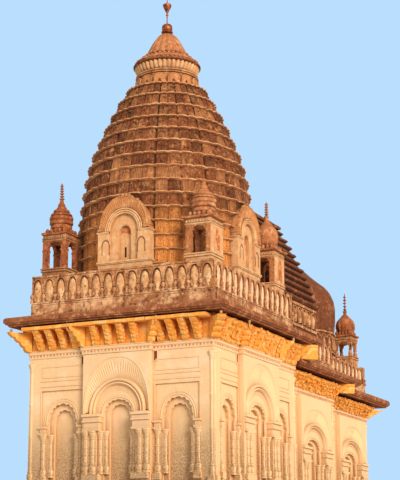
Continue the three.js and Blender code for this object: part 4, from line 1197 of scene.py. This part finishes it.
def aedicule(side):
    name = side + "_aedicule"
    setback = FRONT_SETBACK if side == "front" else 0.0
    reach = (TOWER_Y - setback if side in ("rear", "front") else SANCTUM.half) - PARAPET_THICK - 0.02
    turn = {"rear": 0, "front": pi, "right": pi / 2, "left": -pi / 2}[side]
    body, fluted, crest, dark, stain, line = forms(6, at(0, TOWER_Y) @ spin(turn) @ at(0, -reach))
    half, foot, cornice, shoulder, deep = (
        AEDICULE.half, AEDICULE.foot, AEDICULE.cornice, AEDICULE.shoulder, AEDICULE.depth)
    hood_half, hood_foot, hood_rise = AEDICULE.hood_half, shoulder + 0.04, AEDICULE.hood_rise
    # Pedestal and foot mouldings.
    body.bar(0, half, 0.02, deep, TOWER_FLOOR, foot - 0.12, 5)
    for z, out, high in ((foot - 0.12, 0.02, 0.05), (foot - 0.07, 0.05, 0.07)):
        body.bar(0, half + out, -out, deep, z, z + high, 5)
    # Side piers with a small pointed niche in each, under a stepped cornice.
    for sign in (-1, 1):
        body.beside(sign, 0.66, half, 0.0, deep, foot, cornice, 2)
        mid = sign * 0.84
        # The dark rolls and thin bars of line trace each small niche: painted shade along its edge.
        line.roll(mid, 0.17, SMALL_ARCH, 0.24, 0.0, 0.020, 14, 0.9)
        body.roll(mid, 0.21, SMALL_ARCH, 0.29, 0.0, 0.022, 14, 0.9)
        for edge in (-0.17, 0.17):
            line.bar(mid + edge, 0.012, -0.012, 0.01, foot + 0.30, SMALL_ARCH)
        for z, out in ((cornice, 0.02), (cornice + 0.04, 0.045)):
            body.beside(sign, 0.70, half + out, -out, deep, z, z + 0.045, 2)
    # The deep arch between them, and the pointed niche in its back.
    steps = 28
    arch = arch_curve(0.65, shoulder, 0.72, steps, 1.0)
    niche = arch_curve(0.29, NICHE_ARCH, 0.42, steps, 0.85)
    jambs = [(0.65, foot), *arch, (-0.65, foot)]
    reveal = [(0.29, foot), *niche, (-0.29, foot)]
    body.skin((jambs, 0.0), (jambs, 0.12))
    body.skin((jambs, 0.12), (reveal, 0.12), (reveal, 0.27))
    body.bar(0, 0.35, 0.27, deep, foot, 12.9, 2)
    body.roll(0, 0.34, NICHE_ARCH, 0.47, 0.12, 0.03, 20, 0.85)
    streak = [(0.24, 12.50), *arch_curve(0.24, 12.52, 0.30, 12, 0.85), (-0.10, 12.60), (0.08, 12.52)]
    stain.prism(streak, 0.262, 0.28)
    # A dark plate on the niche back: painted shade of a slit.
    dark.block(-0.06, 0.01, 0.255, 0.28, 11.53, 11.95)
    # Stepped rolls, then the fluted fan with its rim.
    for r, size, face in ((0.69, 0.035, 0.01), (0.77, 0.045, 0.0), (0.86, 0.035, -0.01)):
        body.roll(0, r, shoulder, r + 0.06, face, size, 30, 1.0)
    body.skin((arch, 0.0), (arch_curve(0.90, shoulder, 0.97, steps, 1.0), 0.0))
    fluted.beads(0, 0.95, shoulder, 1.02, -0.01, 0.03, 24, 1.0)
    flutes = 72
    inner = arch_curve(0.90, shoulder, 0.97, flutes, 1.0)
    outer = arch_curve(hood_half, hood_foot, hood_rise, flutes, 0.94)
    rows = fan(0, inner, outer, (0.0, 0.08, 0.5, 0.92, 1.0), 0.02, -0.07, 0.03)
    fluted.strip([*rows, [(x, deep, z) for x, z in outer]])
    fluted.roll(0, hood_half - 0.03, hood_foot, hood_rise - 0.03, -0.04, 0.035, 40, 0.94)
    for sign in (-1, 1):
        for up, out, high in ((0.02, 0.05, 0.10), (0.16, 0.02, 0.08), (0.28, -0.04, 0.08)):
            z = shoulder + up
            fluted.beside(sign, 0.96, hood_half + out, -out - 0.02, deep, z, z + high, 2)
    # Broken crest of rounded leaves, tallest over the middle.
    rng = random.Random(len(name))
    leaves = 26
    for i in range(leaves):
        if rng.random() < 0.2:
            continue
        a = pi * (i + 0.5) / leaves
        tall = rng.uniform(0.5, 1.0) * (0.05 + 0.06 * sin(a) ** 6)
        x = (hood_half - 0.03) * copysign(abs(cos(a)) ** 0.94, cos(a))
        z = hood_foot + (hood_rise - 0.03) * sin(a)
        leaf = [(0.0, -0.05), (0.06, -0.03), (0.085, tall * 0.6), (0.06, tall * 1.3), (0.0, tall * 1.7)]
        crest.turned(leaf, 7, at(x, 0.05, z) @ spin(pi / 2 - a, "Y"))
    body.make(name + "_front", GOLDEN, "golden_stucco", [name], wear=0.012, grain=1.5)
    fluted.make(name + "_hood", HOOD, "golden_stucco", wear=0.012, grain=1.5)
    crest.make(name + "_crest", HOOD, "golden_stucco", wear=0.020, grain=3.0)
    line.make(name + "_niche_lines", DOME, "golden_stucco")
    dark.make(name + "_slit", RECESS_SHADE, "golden_stucco")
    stain.make(name + "_stain", RED_STAIN, "golden_stucco")


# Kiosks

BIG_KIOSK = Sizes(half=0.57, pier=0.23, floor=TOWER_FLOOR, sill=11.35, eave=12.84, bulb=0.51, bulb_top=14.50)
SMALL_KIOSK = Sizes(half=0.48, pier=0.11, floor=HALL.roof, sill=9.93, eave=11.0, bulb=0.50, bulb_top=12.36)
# Bands of a bulb: radius share, then foot and top as shares of its height.
BULB_BANDS = [
    (0.90, 0.0, 0.12), (0.92, 0.12, 0.25), (1.0, 0.25, 0.38), (1.02, 0.38, 0.50), (0.92, 0.50, 0.58),
    (0.70, 0.58, 0.69), (0.42, 0.69, 0.78), (0.32, 0.78, 0.87),
]
# Radius share and height share of a fluted bulb.
FLUTED_BULB = [
    (0.80, 0.0), (0.84, 0.06), (0.78, 0.10), (0.93, 0.18), (1.0, 0.30), (1.0, 0.42), (0.94, 0.53),
    (0.80, 0.63), (0.60, 0.72), (0.42, 0.80), (0.24, 0.88), (0.15, 0.96),
]


def kiosk_piers(form, kind, arch_half, frieze, spring, slender):
    """Square and panelled piers, or slender columns with swelling feet."""
    sill = kind.sill
    column = [(0.0, sill), (0.12, sill), (0.12, sill + 0.05), (0.10, sill + 0.10), (0.115, sill + 0.18),
              (0.07, sill + 0.30), (0.055, sill + 0.36), (0.055, spring - 0.06), (0.08, spring - 0.03),
              (0.10, spring), (0.0, spring)]
    w = kind.pier / 2
    panel = (sill + 0.12, spring - 0.05, 1)
    pier = [(w, w, sill, frieze, 2), (w - 0.05, w + 0.015, *panel), (w + 0.015, w - 0.05, *panel),
            (w + 0.02, w + 0.02, spring - 0.05, spring + 0.02, 1)]
    c = kind.half - 0.10 if slender else arch_half + w
    for sx in (-1, 1):
        for sy in (-1, 1):
            if slender:
                form.turned(column, 10, at(sx * c, sy * c))
                continue
            for wx, wy, z0, z1, cuts in pier:
                form.block(-wx, wx, -wy, wy, z0, z1, cuts, at(sx * c, sy * c))


def kiosk_bulb(cap, kind, tip, banded):
    """The bulb and its finial, from the drum up to the tip."""
    top = kind.bulb_top
    drum = kind.eave + 0.12
    rise = top - drum
    profile = [(0.0, drum)]
    if banded:
        for share, a, b in BULB_BANDS:
            r = kind.bulb * share
            profile += [(r * 0.93, drum + rise * a), (r, drum + rise * (a + 0.02)),
                        (r, drum + rise * (b - 0.035)), (r * 0.93, drum + rise * (b - 0.01))]
        profile += [(0.10, drum + rise * 0.90), (0.07, top)]
        ripple, sides = None, 32
    else:
        profile += [(kind.bulb * share, drum + rise * up) for share, up in FLUTED_BULB] + [(0.09, top)]
        flutes = 16
        sides = flutes * 4

        def ripple(a, z):
            return 1 + (0.035 * abs(cos(flutes * a / 2)) if z > drum + rise * 0.12 else 0)
    profile += [(0.11, top + 0.02), (0.11, top + 0.05), (0.05, top + 0.09)]
    if tip > top + 0.3:
        beads = 5
        for i in range(beads):
            z = top + 0.10 + (tip - top - 0.12) * i / beads * 0.92
            size = 0.095 - 0.005 * i
            profile += [(0.028, z), (size, z + 0.045), (size, z + 0.065), (0.028, z + 0.11)]
        profile += [(0.02, tip - 0.08), (0.035, tip - 0.05), (0.0, tip)]
    else:
        profile += [(0.06, top + 0.12), (0.0, top + 0.14)]
    cap.turned(profile, sides, ripple=ripple)


def kiosk(name, x, y, kind, reach, tip, banded=False, slender=False, stained=False):
    form, trim, cap, stain = forms(4, at(x, y))
    half, sill, eave = kind.half, kind.sill, kind.eave
    # Pedestal with mouldings.
    trim.square(half, kind.floor, sill - 0.16, 3)
    for z, out, high in ((sill - 0.16, 0.05, 0.06), (sill - 0.10, 0.02, 0.05), (sill - 0.05, 0.06, 0.05)):
        trim.square(half + out, z, z + high, 3)
    arch_half = half - kind.pier
    arch_rise = arch_half * 1.15
    frieze = eave - 0.30
    spring = frieze - arch_rise
    kiosk_piers(form, kind, arch_half, frieze, spring, slender)
    # Arched heads, one in each face.
    curve = cusped_curve(arch_half, spring, arch_rise, 5, 0.10, 4)
    last = len(curve) - 1
    head = [((half - 0.01) * (1 - 2 * i / last), frieze) for i in range(last + 1)]
    face = -half + 0.02
    back = face + 0.16
    for turn in QUARTERS:
        form.skin((head, face), (curve, face), (curve, back), (head, back), local=turn)
        form.roll(0, arch_half + 0.02, spring, arch_rise + 0.02, face, 0.022, 16, local=turn)
    # Frieze, dentils, eave slab with upturned corners.
    trim.square(half, frieze - 0.01, eave, 2)
    trim.square(half + 0.03, frieze + 0.02, frieze + 0.06, 2)
    teeth = 9
    for turn in QUARTERS:
        for i in range(teeth):
            c = half * ((2 * i + 1) / teeth - 1)
            trim.bar(c, 0.03, -half - 0.05, -half, frieze + 0.10, frieze + 0.18, local=turn)
    out = half + reach
    rings = [(out - 0.10, -0.04, 0), (out, -0.01, 0.02), (out + 0.005, 0.04, 0.04), (out - 0.05, 0.07, 0.04),
             (half * 0.9, 0.13, 0)]
    shares = (-1, -0.6, 0, 0.6)
    cap.strip([square_ring(ring, eave + up, shares, lift) for ring, up, lift in rings], True, True)
    # Low parapet of leaves round the drum of the bulb.
    drum = eave + 0.12
    leaf = [(0.0, drum - 0.02), (0.07, drum), (0.08, drum + 0.09), (0.04, drum + 0.17), (0.0, drum + 0.19)]
    for turn in QUARTERS:
        for i in range(-2, 3):
            cap.turned(leaf, 7, turn @ at(i * half * 0.36, -half * 0.80))
    kiosk_bulb(cap, kind, tip, banded)
    if stained:
        # A blind niche, stained red, closes the outer face.
        local = QUARTERS[1]
        trim.bar(0, half, -half - 0.025, -half + 0.02, sill + 0.02, frieze, 3, local)
        wide, edge = arch_half * 0.62, arch_half * 0.72
        curve = arch_curve(wide, spring + 0.02, 0.22, 12, 0.85)
        stain.prism([(wide, sill + 0.16), *curve, (-wide, sill + 0.16)], -half - 0.03, -half, local)
        trim.roll(0, edge, spring + 0.02, 0.28, -half - 0.025, 0.028, 14, local=local)
        for c in (-edge, edge):
            trim.bar(c, 0.025, -half - 0.05, -half, sill + 0.1, spring + 0.02, local=local)
        stain.make(name + "_stained_niche", RED_STAIN, "kiosk_plaster", wear=0.01)
    form.make(name + "_pavilion", KIOSK if stained or slender else KIOSK_STAINED, "kiosk_plaster", [name],
              wear=0.012, grain=2.0)
    trim.make(name + "_trim", GOLDEN if stained else LEDGE, "kiosk_plaster", wear=0.012, grain=2.0)
    cap.make(name + "_bulb", KIOSK if stained else KIOSK_STAINED, "kiosk_plaster", wear=0.014, grain=4.0)


def kiosks():
    """The rear right kiosk has lost its finial, and the rear left one's eave is worn back."""
    out, full_tip, broken_tip = 3.41, 15.25, 14.59
    for end, sign in (("rear", -1), ("front", 1)):
        for side, across in (("left", -1), ("right", 1)):
            name = "%s_%s_chhatri" % (end, side)
            reach = 0.06 if name == "rear_left_chhatri" else 0.14
            tip = broken_tip if name == "rear_right_chhatri" else full_tip
            kiosk(name, across * out, TOWER_Y + sign * out, BIG_KIOSK, reach, tip, banded=end == "rear",
                  stained=side == "right")
    out = 2.5
    for side, across in (("left", -1), ("right", 1)):
        kiosk("hall_%s_chhatri" % side, across * out, HALL.end - HALL.half + out, SMALL_KIOSK, 0.08, 13.40,
              slender=True)


# Roofs of the two halls

def stepped_roof():
    leaves, form = forms(2, at(0, MANDAPA.middle))
    half, arcade, z0, z1 = 3.0, 10, 10.4, 11.25
    pitch = 2 * half / arcade
    leaf = [(0.0, z0), (0.10, z0 + 0.03), (0.14, z0 + 0.30), (0.13, z0 + 0.50), (0.05, z1 - 0.14),
            (0.0, z1 - 0.10)]
    for turn in QUARTERS:
        for i in range(arcade):
            c = -half + pitch * (i + 0.5)
            leaves.roll(c, pitch * 0.36, z1 - 0.30, 0.28, -half, 0.035, 10, local=turn)
            leaves.turned(leaf, 10, turn @ at(c, -half + 0.03))
            leaves.bar(c - pitch / 2, 0.04, -half - 0.04, -half, z0 - 0.05, z1, local=turn)
        for z in (10.22, 11.27):
            leaves.bar(0, half + 0.06, -half - 0.06, -half + 0.02, z, z + 0.12, 8, turn)
    leaves.make("mandapa_roof_arcade", PARAPET, "dark_stucco", wear=0.02)
    tiers, foot, top = 11, 11.4, 15.4
    widest, narrowest = 3.17, 1.83
    pitch = (top - foot) / tiers
    profile, ornaments = [], []
    for i in range(tiers):
        half = widest + (narrowest - widest) * (i / (tiers - 1)) ** 1.25
        z = foot + pitch * i
        profile += [(half - 0.20, z), (half - 0.10, z + 0.03), (half + 0.01, z + 0.12),
                    (half + 0.02, z + 0.19), (half - 0.05, z + 0.20), (half - 0.20, z + 0.18),
                    (half - 0.20, z + pitch - 0.005)]
        ornaments.append((half, z + 0.15))
    profile += [(1.72, top), (1.76, top + 0.05), (1.76, top + 0.14), (1.68, top + 0.2), (0.9, top + 0.22)]
    form.strip([square_ring(half, z, [j / 5 - 1 for j in range(10)]) for half, z in profile], True, True)
    for half, z in ornaments[:-1]:
        knob = [(0.0, z - 0.02), (0.06, z), (0.07, z + 0.05), (0.03, z + 0.10), (0.0, z + 0.12)]
        for turn in QUARTERS:
            for c in (-half + 0.08, -half * 0.6, -half * 0.2, half * 0.2, half * 0.6):
                form.turned(knob, 7, turn @ at(c, -half + 0.06))
    finial = [(0.0, 0.2), (0.72, 0.2), (0.76, 0.30), (0.76, 0.42), (0.64, 0.52), (0.48, 0.76), (0.30, 0.88),
              (0.15, 0.98), (0.20, 1.04), (0.20, 1.12), (0.06, 1.26), (0.03, 1.5), (0.0, 1.7)]
    form.turned([(r, top + z) for r, z in finial], 48,
                ripple=lambda a, z: 1 + (0.03 * cos(24 * a) if z < top + 0.5 else 0))
    form.make("stepped_roof_tiers", DOME, "dark_stucco", ["mandapa_stepped_roof"], wear=0.02, grain=1.2)


DOME_CURVE = [
    (0.975, 0), (0.99, 0.09), (1, 0.18), (1, 0.35), (0.975, 0.44), (0.91, 0.54), (0.83, 0.61), (0.67, 0.69),
    (0.55, 0.76), (0.44, 0.83), (0.34, 0.88), (0.24, 0.93), (0.1, 1),
]
DOME_FINIAL = [
    (0.0, 14.6), (0.50, 14.66), (0.56, 14.74), (0.50, 14.84), (0.40, 14.90), (0.36, 15.02), (0.15, 15.23),
    (0.22, 15.30), (0.22, 15.38), (0.07, 15.54), (0.03, 15.8), (0.02, 16.08), (0.0, 16.1),
]
DRUM_LEAF = [(0.0, 9.95), (0.09, 9.98), (0.12, 10.25), (0.05, 10.58), (0.0, 10.62)]


def hall_dome():
    form, drum = forms(2, at(0, HALL.middle))
    ribs, base, rise, radius = 48, 10.9, 4.0, 2.67
    profile = [(radius * r, base + rise * up) for r, up in DOME_CURVE]
    form.turned([(0.0, base), *profile, (0.0, base + rise + 0.02)], ribs * 4,
                ripple=lambda a, z: 1 - 0.022 * (0.5 + 0.5 * cos(ribs * a)) ** 2)
    form.turned(DOME_FINIAL, 40, ripple=lambda a, z: 1 + (0.05 * cos(16 * a) if z < 14.95 else 0))
    form.make("ribbed_dome", DOME, "dark_stucco", ["hall_dome"], wear=0.02, grain=1.0)
    sides, radius = 16, 2.62
    width = radius * sin(pi / sides)
    for i in range(sides):
        local = spin(tau * (i + 0.5) / sides) @ at(0, -radius * cos(pi / sides))
        for c in (-width / 2, width / 2):
            drum.roll(c, width * 0.36, 10.55, 0.2, 0.0, 0.03, 8, local=local)
            drum.turned(DRUM_LEAF, 8, local @ at(c, 0.03))
        for z, out in ((9.80, 0.05), (10.80, 0.07)):
            drum.bar(0, width + 0.02, -out, 0.02, z, z + 0.09, local=local)
    drum.make("dome_drum_arcade", PARAPET, "dark_stucco", wear=0.015)


# Foot of the building and the entrance

def plinth_mouldings():
    form = Form()
    for offset, z, out in ((0.35, 0.27, 0.04), (0.20, 0.60, 0.05), (0.09, 0.86, 0.06)):
        path = []
        for section in (SANCTUM, MANDAPA, HALL):
            x = section.half + offset
            start = section.start + (-offset if section is SANCTUM else offset)
            path += [(x, start), (x, section.end + offset)]
        path += [(-x, y) for x, y in reversed(path)]
        profile = [(-0.03, z - 0.05), (out, z - 0.05), (out + 0.02, z - 0.02), (out + 0.02, z + 0.01),
                   (out, z + 0.035), (-0.03, z + 0.035)]
        form.moulding(profile, path, closed=True, step=1.0)
    form.make("plinth_mouldings", BASE, "weathered_plaster", wear=0.012)


def entrance():
    form = Form(facing(HALL, "front"))
    face, back = -BAY_OUT, -BAY_OUT + 0.02
    half, spring, rise, cornice = 0.95, 3.1, 1.1, 4.45
    pier, panel = 1.24, 2.375
    hood(form, 0, cornice, 1.45, 1.45, 1.20, 0.55, face - 0.15, 0.12)
    form.roll(0, half + 0.05, spring, rise + 0.02, face, 0.06)
    form.roll(0, half + 0.22, spring, rise + 0.18, face, 0.05)
    cusped_plate(form, 0, half - 0.02, spring, rise - 0.04, face + 0.05, 0.1, foot=spring - 0.1, cusp=0.06)
    for sign in (-1, 1):
        for x in (half + 0.14, half + 0.42):
            colonette(form, sign * x, face, FLOOR + 0.3, spring, 1.05)
        form.bar(sign * pier, 0.28, face - 0.16, back, FLOOR, FLOOR + 0.3)
        form.bar(sign * pier, 0.28, face - 0.14, back, spring, spring + 0.2)
        form.frame(sign * panel, 0.625, 2.2, 5.2)
        form.roll(sign * 2.37, 0.38, 3.9, 0.45, 0, 0.045, 20)
        corner_shaft(form, sign * 3.13, HALL.dentil - 0.14)
    form.bar(0, 1.55, face - 0.12, back, cornice - 0.13, cornice, 4)
    form.bar(0, 1.5, face - 0.08, back, cornice - 0.21, cornice - 0.13, 4)
    for up, out, high in FOOT_MOULDINGS[:2]:
        z = FLOOR + up
        for sign in (-1, 1):
            form.beside(sign, 1.56, 3.24, -out, 0.02, z - high / 2, z + high / 2, 3)
    form.make("entrance_relief", PLASTER, "plaster", wear=0.006)


sanctum_relief("rear")
for side in ("left", "right"):
    sanctum_relief(side)
    lower_relief(MANDAPA, MANDAPA_BAY, side)
    lower_relief(HALL, HALL_BAY, side)
for side in ("rear", "left", "right"):
    sanctum_brackets(side)
for side in ("left", "right"):
    lower_brackets(MANDAPA, side)
    lower_brackets(HALL, side)
lower_brackets(HALL, "front")
eaves()
parapets()
tower(ledge_levels())
tower_panels(ledge_levels())
crown()
for side in ("rear", "front", "left", "right"):
    aedicule(side)
kiosks()
stepped_roof()
hall_dome()
plinth_mouldings()
entrance()


# Stage: floor, light and camera

def floor():
    sides, radius = 96, 25.0
    angles = [tau * i / sides for i in range(sides)]
    mesh = bpy.data.meshes.new("floor")
    mesh.from_pydata([(radius * cos(a), radius * sin(a), -0.002) for a in angles], [], [tuple(range(sides))])
    material = bpy.data.materials.new("pale_floor")
    material.use_nodes = True
    surface = material.node_tree.nodes["Principled BSDF"]
    surface.inputs["Base Color"].default_value = linear(226, 218, 206)
    surface.inputs["Roughness"].default_value = 0.8
    mesh.materials.append(material)
    disc = bpy.data.objects.new("floor", mesh)
    bpy.context.scene.collection.objects.link(disc)


def light():
    sun = bpy.data.lights.new("key", "SUN")
    sun.energy = 3.0
    sun.angle = radians(22)
    sun.color = (1.0, 0.84, 0.70)
    lamp = bpy.data.objects.new("key", sun)
    lamp.rotation_euler = Vector((0.74, -0.62, 0.30)).to_track_quat("Z", "Y").to_euler()
    bpy.context.scene.collection.objects.link(lamp)
    world = bpy.data.worlds.new("studio")
    world.use_nodes = True
    bpy.context.scene.world = world
    tree = world.node_tree
    tree.nodes.clear()
    backdrop = tree.nodes.new("ShaderNodeBackground")
    backdrop.inputs["Color"].default_value = linear(186, 223, 254)
    fill = tree.nodes.new("ShaderNodeBackground")
    fill.inputs["Color"].default_value = (1.0, 0.90, 0.84, 1)
    fill.inputs["Strength"].default_value = 0.62
    path = tree.nodes.new("ShaderNodeLightPath")
    mix = tree.nodes.new("ShaderNodeMixShader")
    out = tree.nodes.new("ShaderNodeOutputWorld")
    tree.links.new(path.outputs["Is Camera Ray"], mix.inputs["Fac"])
    tree.links.new(fill.outputs["Background"], mix.inputs[1])
    tree.links.new(backdrop.outputs["Background"], mix.inputs[2])
    tree.links.new(mix.outputs["Shader"], out.inputs["Surface"])


def camera():
    data = bpy.data.cameras.new("camera")
    data.sensor_width = 36
    data.lens = 108.9
    data.clip_end = 400
    eye = bpy.data.objects.new("camera", data)
    yaw, pitch, roll = radians(25.01), radians(13.41), radians(-0.20)
    eye.matrix_world = at(27.900, -63.123, -1.9) @ spin(yaw) @ spin(pi / 2 + pitch, "X") @ spin(roll)
    bpy.context.scene.collection.objects.link(eye)
    bpy.context.scene.camera = eye


floor()
light()
camera()
bpy.context.scene.view_settings.view_transform = "Standard"
